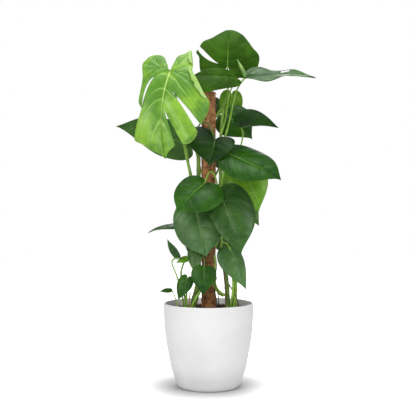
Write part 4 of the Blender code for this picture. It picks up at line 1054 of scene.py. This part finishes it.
def rolledSheet(name, path, radii, turns, opening, skins, segments=30):
    # a sheet wound round itself along a path: a closed thin body with a spiral seam
    path = np.array(path)
    tangent = np.gradient(path, axis=0)
    tangent = tangent / np.linalg.norm(tangent, axis=1)[:, None]
    across = np.cross(tangent[0], np.array([0.31, 0.83, 0.47]))
    points, count = [], len(path)
    rings = 2 * (segments + 1)  # points round one ring, inner and outer skin together
    for i in range(count):
        across = across - tangent[i] * (across @ tangent[i])
        across = across / np.linalg.norm(across)
        other = np.cross(tangent[i], across)
        twist = 2.5 * i / count
        for layer in (0, 1):
            order = range(segments + 1) if layer == 0 else range(segments, -1, -1)
            for k in order:
                wind = 2.0 * math.pi * turns * k / segments
                r = radii[i] * (1.0 - opening * k / segments) - layer * min(0.0006, radii[i] * 0.12)
                way = math.cos(wind + twist) * across + math.sin(wind + twist) * other
                points.append(path[i] + r * way)
    faces = wallFaces(0, count, rings)
    for k in range(segments):
        faces.append([k, rings - 1 - k, rings - 2 - k, k + 1])
        e = (count - 1) * rings
        faces.append([e + k, e + k + 1, e + rings - 2 - k, e + rings - 1 - k])
    mesh = plainMesh(name, points, faces)
    for skin in skins:
        mesh.materials.append(skin)
    return newObject(name, mesh)


rolledLeafSkin = makeSkinMaterial("rolledLeafSkin", (0.070, 0.170, 0.020, 1), (0.150, 0.300, 0.050, 1),
                                  (0.260, 0.420, 0.110, 1), 0.35)
bud = {
    "node": "leaf_rolled", "radius": 0.0096, "turns": 1.7, "opening": 0.32,
    "path": ((0.122, -0.068, 1.036), (0.113, -0.066, 1.058), (0.103, -0.058, 1.08),
             (0.096, -0.052, 1.098)),
}
share = np.linspace(0.0, 1.0, 60)
radii = bud["radius"] * np.sin(np.pi * (0.12 + 0.80 * share)) ** 0.8 * (1.0 - 0.55 * share)
obj = rolledSheet("rolledNewLeaf", smoothPath(bud["path"], 60), radii, bud["turns"], bud["opening"],
                  [rolledLeafSkin])
setPiece(obj, [bud["node"]])

sheaths = {
    "curledSheath": {
        "node": "sheath_curled", "slot": "sheath", "skin": youngSheathSkin, "turns": 0.82,
        "opening": 0.1,
        "path": ((0.019, -0.068, 0.45), (0.024, -0.07, 0.413), (0.018, -0.07, 0.374),
                 (0.022, -0.068, 0.345), (0.036, -0.064, 0.323), (0.053, -0.058, 0.312)),
        "radius": (0.004, 0.0074),
    },
    "leftGreenSheath": {
        "node": "sheath_left", "slot": "stem", "skin": stalkSkin, "turns": 0.84, "opening": 0.1,
        "path": ((-0.022, -0.086, 0.352), (-0.028, -0.09, 0.33), (-0.042, -0.093, 0.304),
                 (-0.053, -0.09, 0.275), (-0.056, -0.086, 0.24)),
        "radius": (0.0042, 0.0077),
    },
    "rightBroadSheath": {
        "node": "sheath_broad", "slot": "stem", "skin": stalkSkin, "turns": 0.84, "opening": 0.08,
        "path": ((0.08, -0.074, 0.38), (0.082, -0.08, 0.34), (0.079, -0.08, 0.29),
                 (0.075, -0.076, 0.24)),
        "radius": (0.004, 0.0102),
    },
    "dryTornSheath": {
        "node": "sheath_dry", "slot": "sheath", "skin": sheathSkin, "turns": 0.8, "opening": 0.15,
        "path": ((-0.062, -0.074, 0.245), (-0.064, -0.072, 0.29), (-0.061, -0.068, 0.325)),
        "radius": (0.0041, 0.0018),
    },
}
for name, sheath in sheaths.items():
    share = np.linspace(0.0, 1.0, 80)
    radii = sheath["radius"][0] * (1.0 - share) + sheath["radius"][1] * share
    radii = radii * (1.0 - 0.04 + 0.04 * np.sin(23.0 * share)) * np.clip(share * 12.0 + 0.3, 0.0, 1.0)
    obj = rolledSheet(name, smoothPath(sheath["path"], 80), radii, sheath["turns"], sheath["opening"],
                      [sheath["skin"]])
    setPiece(obj, [sheath["node"]])


def makeRootMaterial():
    material, wire, shader, output = newMaterial("dryRootSkin")
    fibre = placeGroup(wire, fibreGroup, {"Scale": 420.0})
    color = wire.mix(fibre.outputs["Strand"], (0.055, 0.028, 0.014, 1), (0.210, 0.120, 0.060, 1))
    color = wire.mix(wire.times(fibre.outputs["Pit"], 0.5), color, (0.10, 0.055, 0.028, 1))
    wire.feed(color, shader.inputs["Base Color"])
    shader.inputs["Roughness"].default_value = 0.78
    wire.bump(shader, fibre.outputs["Strand"], 0.5, 0.0006)
    return material


rootSkin = makeRootMaterial()
roots = {
    "rightAirRoot": {
        "node": "root_right", "radius": (0.0021, 0.0015),
        "path": ((0.068, -0.048, 0.348), (0.084, -0.058, 0.322), (0.097, -0.06, 0.292),
                 (0.101, -0.056, 0.24)),
    },
    "frontAirRoot": {
        "node": "root_front", "radius": (0.0019, 0.0014),
        "path": ((0.046, -0.05, 0.42), (0.054, -0.076, 0.37), (0.056, -0.086, 0.3),
                 (0.054, -0.088, 0.24)),
    },
    "centreAirRoot": {
        "node": "root_centre", "radius": (0.0023, 0.0017),
        "path": ((0.026, -0.04, 0.372), (0.02, -0.046, 0.335), (0.026, -0.05, 0.29),
                 (0.024, -0.052, 0.24)),
    },
    "leftAirRoot": {
        "node": "root_left", "radius": (0.0028, 0.0019),
        "path": ((-0.03, -0.044, 0.336), (-0.034, -0.062, 0.31), (-0.042, -0.072, 0.28),
                 (-0.044, -0.074, 0.24)),
    },
    "rearAirRoot": {
        "node": "root_rear", "radius": (0.0021, 0.0015),
        "path": ((0.012, 0.044, 0.35), (0.026, 0.056, 0.33), (0.034, 0.066, 0.29), (0.032, 0.07, 0.24)),
    },
}
for name, root in roots.items():
    share = np.linspace(0.0, 1.0, 90)
    radii = root["radius"][0] * (1.0 - share) + root["radius"][1] * share
    radii = radii * (1.0 + 0.07 * np.sin(53.0 * share) + 0.05 * np.sin(117.0 * share + 1.0))
    obj = sweepTube(name, smoothPath(root["path"], 90), radii, 12, rootSkin)
    setPiece(obj, [root["node"]])
print("rolled leaf, sheaths and roots built")


# Pot.

def turnedBody(name, profile, sides):
    # body of revolution; the profile starts and ends on the upright axis
    points = [(0.0, 0.0, profile[0][1])]
    for radius, height in profile[1:-1]:
        points += ringPoints(radius, height, sides)
    points.append((0.0, 0.0, profile[-1][1]))
    rings, last = len(profile) - 2, len(points) - 1
    faces = [[0, 1 + (k + 1) % sides, 1 + k] for k in range(sides)]
    faces += wallFaces(1, rings, sides)
    low = 1 + (rings - 1) * sides
    faces += [[low + k, low + (k + 1) % sides, last] for k in range(sides)]
    return plainMesh(name, points, faces)


def makePotMaterial():
    material, wire, shader, output = newMaterial("mattWhiteGlaze")
    place = wire.place()
    cloud = wire.band(wire.noise(place, 9.0, 4.0, 0.6), 0.35, 0.68)
    speck = wire.band(wire.noise(place, 700.0, 2.0, 0.5), 0.66, 0.74)
    scuff = wire.band(wire.noise(wire.stretched(place, (1.0, 1.0, 0.25)), 60.0, 4.0, 0.7), 0.60, 0.75)
    split = wire.add("ShaderNodeSeparateXYZ", {0: place})
    high = split.outputs[2]
    foot = wire.times(wire.band(high, 0.030, 0.0), scuff)
    away = wire.math("SQRT", wire.math("ADD", wire.math("POWER", split.outputs[0], 2.0),
                                       wire.math("POWER", split.outputs[1], 2.0)))
    # painted light: the inner wall near the rim is painted lighter than the outside glaze, standing in
    # for light that the leaves keep off it
    inside = wire.times(wire.band(away, 0.1500, 0.1480), wire.band(high, 0.215, 0.240))
    color = wire.mix(cloud, (0.660, 0.662, 0.662, 1), (0.700, 0.702, 0.702, 1))
    color = wire.mix(inside, color, (0.900, 0.900, 0.895, 1))
    color = wire.mix(wire.times(speck, 0.25), color, (0.55, 0.53, 0.49, 1))
    color = wire.mix(wire.times(foot, 0.35), color, (0.42, 0.40, 0.36, 1))
    wire.feed(color, shader.inputs["Base Color"])
    wire.feed(wire.band(cloud, 0.0, 1.0, 0.52, 0.62), shader.inputs["Roughness"])
    grain = wire.math("ADD", wire.noise(place, 380.0, 3.0, 0.6), wire.times(cloud, 0.3))
    wire.bump(shader, grain, 0.12, 0.0004)
    return material


# profiles are (radius, height) in metres, from the foot up and over the rim
pot = {
    "wall": 0.0045, "floor": 0.0055, "sides": 192,
    "foot": ((0.0, 0.0024), (0.088, 0.0024), (0.0905, 0.0014), (0.0925, 0.0002)),
    "outside": ((0.0980, 0.0000), (0.1045, 0.0020), (0.1090, 0.0110), (0.1135, 0.0260),
                (0.1210, 0.0460), (0.1285, 0.0700), (0.1350, 0.1040), (0.1415, 0.1380),
                (0.1466, 0.1720), (0.1495, 0.2060), (0.1515, 0.2400), (0.1524, 0.2640)),
    "rim": ((0.1519, 0.2765), (0.1514, 0.2796), (0.1506, 0.2812), (0.1493, 0.2819),
            (0.1480, 0.2818), (0.1470, 0.2808), (0.1465, 0.2790), (0.1466, 0.2620)),
}
outer = smoothPath([(r, 0.0, z) for r, z in pot["outside"]], 70)
inside = [(r - pot["wall"], 0.0, z + pot["floor"]) for r, z in pot["outside"][1:11]]
inner = smoothPath(inside, 50)[::-1]
profile = list(pot["foot"]) + [(p[0], p[2]) for p in outer] + list(pot["rim"])
profile += [(p[0], p[2]) for p in inner] + [(0.0, inner[-1][2])]
potMesh = turnedBody("whitePot", profile, pot["sides"])
potMesh.materials.append(makePotMaterial())
setPiece(newObject("whitePot", potMesh), ["pot"])
print("pot built")


# Potting mix.

def makeMixMaterial(name, low, high, chip):
    material, wire, shader, output = newMaterial(name)
    place = wire.place()
    fibre = placeGroup(wire, fibreGroup, {"Scale": 300.0})
    lump = wire.band(wire.noise(place, 160.0, 4.0, 0.65), 0.38, 0.66)
    color = wire.mix(lump, low, high)
    color = wire.mix(wire.times(fibre.outputs["Strand"], 0.40), color, chip)
    wire.feed(color, shader.inputs["Base Color"])
    wire.feed(wire.band(lump, 0.0, 1.0, 0.95, 0.80), shader.inputs["Roughness"])
    wire.bump(shader, lump, 0.7, 0.0015)
    return material


mixSkin = makeMixMaterial("darkPottingMix", (0.010, 0.007, 0.004, 1), (0.042, 0.028, 0.016, 1),
                          (0.090, 0.055, 0.028, 1))
barkSkin = makeMixMaterial("barkCrumbs", (0.018, 0.011, 0.006, 1), (0.085, 0.050, 0.026, 1),
                           (0.150, 0.090, 0.045, 1))


def soilHeight(x, y):
    r = math.hypot(x, y)
    dome = np.interp(r, (0.0, 0.060, 0.095, 0.125, 0.1445), (0.2655, 0.2645, 0.2625, 0.2595, 0.2545))
    rough = 0.0016 * math.sin(61.0 * x + 1.0) * math.cos(53.0 * y - 0.6)
    fine = 0.0009 * math.sin(233.0 * x + 2.0) * math.sin(211.0 * y) + 0.0006 * math.sin(431.0 * (x - y))
    return float(dome) + (rough + fine) * min(1.0, (0.1455 - r) / 0.02)


mixSides, mixRings, mixRadius = 144, 40, 0.1445
points = [(0.0, 0.0, soilHeight(0.0, 0.0))]
for i in range(1, mixRings + 1):
    radius = mixRadius * i / mixRings
    for k in range(mixSides):
        a = 2.0 * math.pi * k / mixSides
        x, y = radius * math.cos(a), radius * math.sin(a)
        points.append((x, y, soilHeight(x, y)))
# the bed's side follows the pot's inner wall, a hair inside it
side = [(r - pot["wall"] - 0.0006, z + 0.0062) for r, z in pot["outside"][1:11] if z < 0.24][::-1]
for radius, height in side:
    points += ringPoints(radius, height, mixSides)
points.append((0.0, 0.0, side[-1][1]))
faces = [[0, 1 + k, 1 + (k + 1) % mixSides] for k in range(mixSides)]
faces += wallFaces(1, mixRings + len(side), mixSides, inward=True)
low = 1 + (mixRings + len(side) - 1) * mixSides
faces += [[low + k, len(points) - 1, low + (k + 1) % mixSides] for k in range(mixSides)]
mixBed = newObject("pottingBed", plainMesh("pottingBed", points, faces))
mixBed.data.materials.append(mixSkin)


def makeScatterTree(name, upOnly):
    # strews small shapes over a surface, each turned and sized at random
    tree, wire, inp, out = newGroup(name, "GeometryNodeTree", [
        ("Geometry", "NodeSocketGeometry", None), ("Shape", "NodeSocketObject", None),
        ("Density", "NodeSocketFloat", 20000.0), ("Smallest", "NodeSocketFloat", 0.4),
        ("Largest", "NodeSocketFloat", 1.2), ("Seed", "NodeSocketInt", 3),
        ("Skin", "NodeSocketMaterial", None)],
        [("Geometry", "NodeSocketGeometry")])
    place = wire.add("GeometryNodeInputPosition").outputs[0]
    normal = wire.add("GeometryNodeInputNormal").outputs[0]
    spread = wire.add("GeometryNodeDistributePointsOnFaces", {
        "Mesh": inp.outputs["Geometry"], "Density": inp.outputs["Density"],
        "Seed": inp.outputs["Seed"]})
    if upOnly:
        rise = wire.add("ShaderNodeSeparateXYZ", {0: normal}).outputs[2]
        wire.feed(wire.add("FunctionNodeCompare", {0: rise, 1: 0.5}, data_type="FLOAT",
                           operation="GREATER_THAN").outputs[0], spread.inputs["Selection"])
    shape = wire.add("GeometryNodeObjectInfo", {"Object": inp.outputs["Shape"], "As Instance": True})
    turn = wire.add("FunctionNodeRandomValue", {0: (0.0, 0.0, 0.0), 1: (6.28, 6.28, 6.28)},
                    data_type="FLOAT_VECTOR")
    wire.feed(inp.outputs["Seed"], turn.inputs["Seed"])
    size = wire.add("FunctionNodeRandomValue", {2: inp.outputs["Smallest"], 3: inp.outputs["Largest"]},
                    data_type="FLOAT")
    put = wire.add("GeometryNodeInstanceOnPoints", {
        "Points": spread.outputs["Points"], "Instance": shape.outputs["Geometry"],
        "Rotation": turn.outputs[0], "Scale": size.outputs[1]})
    real = wire.add("GeometryNodeRealizeInstances", {"Geometry": put.outputs[0]})
    skin = wire.add("GeometryNodeSetMaterial", {"Geometry": real.outputs[0],
                                                "Material": inp.outputs["Skin"]})
    wire.feed(skin.outputs[0], out.inputs[0])
    return tree


def lumpShape(name, size, seed):
    bm = bmesh.new()
    bmesh.ops.create_icosphere(bm, subdivisions=1, radius=1.0)
    for k, v in enumerate(bm.verts):
        push = 1.0 + 0.28 * math.sin(seed + 2.4 * k) + 0.12 * math.sin(5.1 * k)
        v.co = Vector((v.co.x * size[0] * push, v.co.y * size[1] * push, v.co.z * size[2] * push))
    mesh = bpy.data.meshes.new(name)
    bm.to_mesh(mesh)
    bm.free()
    return newObject(name, mesh)


scatterTree = makeScatterTree("strewCrumbs", True)
crumbKinds = {
    "mixCrumbs": {
        "size": (0.0022, 0.0018, 0.0015), "density": 42000.0, "range": (0.35, 1.35), "seed": 4,
        "skin": mixSkin,
    },
    "barkChips": {
        "size": (0.0052, 0.0026, 0.0014), "density": 9000.0, "range": (0.45, 1.15), "seed": 9,
        "skin": barkSkin,
    },
    "coirBits": {
        "size": (0.006, 0.0005, 0.0005), "density": 12000.0, "range": (0.5, 1.4), "seed": 15,
        "skin": barkSkin,
    },
}
topCount = 1 + (mixRings - 1) * mixSides
topFaces = [f for f in faces if max(f) < topCount]
topOnly = newObject("mixTop", plainMesh("mixTop", points[:topCount], topFaces))
for name, kind in crumbKinds.items():
    shape = lumpShape(name + "Shape", kind["size"], float(kind["seed"]))
    obj = newObject(name, topOnly.data.copy())
    smallest, largest = kind["range"]
    bakeTree(obj, scatterTree, (("Shape", shape), ("Density", kind["density"]), ("Smallest", smallest),
                                ("Largest", largest), ("Seed", kind["seed"]), ("Skin", kind["skin"])))
    bpy.data.objects.remove(shape, do_unlink=True)
    setPiece(obj, ["potting_mix"])
bpy.data.objects.remove(topOnly, do_unlink=True)
setPiece(mixBed, ["potting_mix"])
print("potting mix built")


# Coir pole.

def makeCoirMaterial(name, shade):
    material, wire, shader, output = newMaterial(name)
    fibre = placeGroup(wire, fibreGroup, {"Scale": 240.0})
    low = (0.220 * shade, 0.085 * shade, 0.030 * shade, 1)
    mid = (0.520 * shade, 0.225 * shade, 0.085 * shade, 1)
    high = (0.700 * shade, 0.380 * shade, 0.180 * shade, 1)
    color = wire.mix(fibre.outputs["Pit"], low, mid)
    color = wire.mix(wire.times(fibre.outputs["Strand"], 0.7), color, high)
    wire.feed(color, shader.inputs["Base Color"])
    shader.inputs["Roughness"].default_value = 0.88
    height = wire.math("ADD", fibre.outputs["Strand"], wire.times(fibre.outputs["Pit"], 0.8))
    wire.bump(shader, height, 0.9, 0.0014)
    return material


coirSkin = makeCoirMaterial("coirMat", 1.0)
strandSkin = makeCoirMaterial("looseCoirStrands", 1.2)

pole = {"sides": 72, "rings": 260, "foot": 0.031, "length": 0.968, "radius": 0.0238, "crown": 0.996}
poleSides, poleRings = pole["sides"], pole["rings"]
points = []
for i in range(poleRings):
    up = i / (poleRings - 1)
    for k in range(poleSides):
        a = 2.0 * math.pi * k / poleSides
        rough = 0.0004 * math.sin(3.0 * a + 37.0 * up) + 0.0004 * math.sin(7.0 * a - 61.0 * up)
        rough += 0.0003 * math.sin(17.0 * a + 230.0 * up) * math.sin(131.0 * up + a)
        top = 0.005 * math.cos(a - 2.4) + 0.0015 * math.sin(4.0 * a) + 0.001 * math.sin(11.0 * a)
        radius = pole["radius"] + rough
        height = pole["foot"] + (pole["length"] + top * up ** 8) * up
        points.append((radius * math.cos(a), radius * math.sin(a), height))
faces = wallFaces(0, poleRings, poleSides)
e = (poleRings - 1) * poleSides
points += [(0.0, 0.0, pole["foot"]), (0.0, 0.0, pole["crown"])]
faces += [[len(points) - 2, (k + 1) % poleSides, k] for k in range(poleSides)]
faces += [[e + k, e + (k + 1) % poleSides, len(points) - 1] for k in range(poleSides)]
coirPole = newObject("coirMossPole", plainMesh("coirMossPole", points, faces))
coirPole.data.materials.append(coirSkin)
setPiece(coirPole, ["coir_pole"])


def makeStrandTree():
    # short curved strands lying on and standing off a surface
    tree, wire, inp, out = newGroup("coirStrands", "GeometryNodeTree", [
        ("Geometry", "NodeSocketGeometry", None), ("Density", "NodeSocketFloat", 20000.0),
        ("Length", "NodeSocketFloat", 0.02), ("Thickness", "NodeSocketFloat", 0.00025),
        ("Lift", "NodeSocketFloat", 0.25), ("Seed", "NodeSocketInt", 5),
        ("Skin", "NodeSocketMaterial", None)],
        [("Geometry", "NodeSocketGeometry")])
    spread = wire.add("GeometryNodeDistributePointsOnFaces", {
        "Mesh": inp.outputs["Geometry"], "Density": inp.outputs["Density"],
        "Seed": inp.outputs["Seed"]})
    arc = wire.add("GeometryNodeCurveArc", {"Resolution": 6, "Radius": 0.5, "Sweep Angle": 2.2,
                                            "Start Angle": 0.4})
    ring = wire.add("GeometryNodeCurvePrimitiveCircle", {"Resolution": 3, "Radius": 1.0})
    line = wire.add("GeometryNodeSetPosition", {"Geometry": arc.outputs[0],
                                                "Offset": (-0.15, -0.42, 0.0)})
    thin = wire.math("DIVIDE", inp.outputs["Thickness"], inp.outputs["Length"])
    tube = wire.add("GeometryNodeCurveToMesh", {
        "Curve": line.outputs[0], "Profile Curve": ring.outputs[0], "Scale": thin, "Fill Caps": True})
    spin = wire.add("FunctionNodeRandomValue", {2: 0.0, 3: 6.283}, data_type="FLOAT")
    wire.feed(inp.outputs["Seed"], spin.inputs["Seed"])
    tip = wire.add("FunctionNodeRandomValue", {2: -1.0, 3: 1.0}, data_type="FLOAT")
    face = wire.add("FunctionNodeAlignRotationToVector", {"Vector": spread.outputs["Normal"]}, axis="Z")
    lean = wire.times(tip.outputs[1], inp.outputs["Lift"])
    angles = wire.add("ShaderNodeCombineXYZ", {0: lean, 1: 0.0, 2: spin.outputs[1]})
    own = wire.add("FunctionNodeEulerToRotation", {0: angles.outputs[0]})
    leaning = wire.add("FunctionNodeRotateRotation", {0: face.outputs[0], 1: own.outputs[0]},
                       rotation_space="LOCAL")
    size = wire.add("FunctionNodeRandomValue", {2: 0.5, 3: 1.3}, data_type="FLOAT")
    put = wire.add("GeometryNodeInstanceOnPoints", {
        "Points": spread.outputs["Points"], "Instance": tube.outputs[0], "Rotation": leaning.outputs[0],
        "Scale": wire.times(size.outputs[1], inp.outputs["Length"])})
    real = wire.add("GeometryNodeRealizeInstances", {"Geometry": put.outputs[0]})
    skin = wire.add("GeometryNodeSetMaterial", {"Geometry": real.outputs[0],
                                                "Material": inp.outputs["Skin"]})
    wire.feed(skin.outputs[0], out.inputs[0])
    return tree


strandTree = makeStrandTree()
poleStrands = newObject("poleStrands", coirPole.data.copy())
bakeTree(poleStrands, strandTree, (("Density", 22000.0), ("Length", 0.022), ("Thickness", 0.00022),
                                   ("Lift", 0.20), ("Seed", 5), ("Skin", strandSkin)))
setPiece(poleStrands, ["coir_pole"])
print("coir pole built")


# Studio.

floorCorners = [(-6, -6, 0), (6, -6, 0), (6, 6, 0), (-6, 6, 0)]
floor = newObject("studioFloor", plainMesh("studioFloor", floorCorners, [[0, 1, 2, 3]], False))
floorPaint = bpy.data.materials.new("paleFloor")
floorPaint.use_nodes = True
floorShader = floorPaint.node_tree.nodes["Principled BSDF"]
floorShader.inputs["Roughness"].default_value = 0.75
floorWire = Wiring(floorPaint.node_tree)
floorPlace = floorWire.place()
floorAway = floorWire.add("ShaderNodeVectorMath", {0: floorPlace}, operation="LENGTH").outputs["Value"]
# painted contact shadow: the floor is painted grey close round the pot's foot and pale farther out; it
# glows for camera rays only, the glow held back near the foot so the painted shadow shows and bright
# farther out
floorShadowGrey, floorPale = (0.48, 0.48, 0.49, 1), (0.93, 0.93, 0.93, 1)
floorTone = floorWire.mix(floorWire.band(floorAway, 0.07, 0.27), floorShadowGrey, floorPale)
floorWire.feed(floorTone, floorShader.inputs["Base Color"])
floorGlow = floorWire.mix(floorWire.band(floorAway, 0.11, 0.46), (0, 0, 0, 1), (1, 1, 1, 1))
floorWire.feed(floorGlow, floorShader.inputs["Emission Color"])
cameraRay = floorWire.add("ShaderNodeLightPath").outputs["Is Camera Ray"]
floorWire.feed(cameraRay, floorShader.inputs["Emission Strength"])
floor.data.materials.append(floorPaint)

lights = {
    "leftSoftbox": {"place": (-1.9, -2.2, 2.3), "size": 1.3, "power": 34.0},
    "rightSoftbox": {"place": (2.1, -1.6, 1.9), "size": 1.2, "power": 22.0},
    "topSoftbox": {"place": (0.1, -0.1, 2.9), "size": 1.6, "power": 46.0},
    "backSoftbox": {"place": (0.3, 2.3, 1.9), "size": 1.6, "power": 24.0},
    "frontFill": {"place": (-0.5, -2.7, 1.15), "size": 1.0, "power": 18.0},
}
for name, light in lights.items():
    data = bpy.data.lights.new(name, "AREA")
    data.size = light["size"]
    data.energy = light["power"]
    lamp = bpy.data.objects.new(name, data)
    scene.collection.objects.link(lamp)
    lamp.location = light["place"]
    aim = Vector((0.0, 0.0, 0.6)) - Vector(light["place"])
    lamp.rotation_euler = aim.to_track_quat("-Z", "Y").to_euler()

world = bpy.data.worlds.new("whiteStudio")
scene.world = world
world.use_nodes = True
worldWire = Wiring(world.node_tree)
world.node_tree.nodes.clear()
seen = worldWire.add("ShaderNodeBackground", {0: (1, 1, 1, 1), 1: 1.0})
lit = worldWire.add("ShaderNodeBackground", {0: (1, 1, 1, 1), 1: 0.40})
ray = worldWire.add("ShaderNodeLightPath").outputs["Is Camera Ray"]
both = worldWire.add("ShaderNodeMixShader", {0: ray})
worldWire.feed(lit.outputs[0], both.inputs[1])
worldWire.feed(seen.outputs[0], both.inputs[2])
worldWire.feed(both.outputs[0], worldWire.add("ShaderNodeOutputWorld").inputs[0])

cameraData = bpy.data.cameras.new("roomCamera")
cameraData.sensor_width = 36.0
cameraData.lens = 68.37
camera = bpy.data.objects.new("roomCamera", cameraData)
scene.collection.objects.link(camera)
camera.location = (-0.002, -2.684, 0.603)
camera.rotation_euler = (math.pi / 2.0, 0.0, 0.0)
scene.camera = camera
scene.view_settings.view_transform = "Standard"

print("studio set")
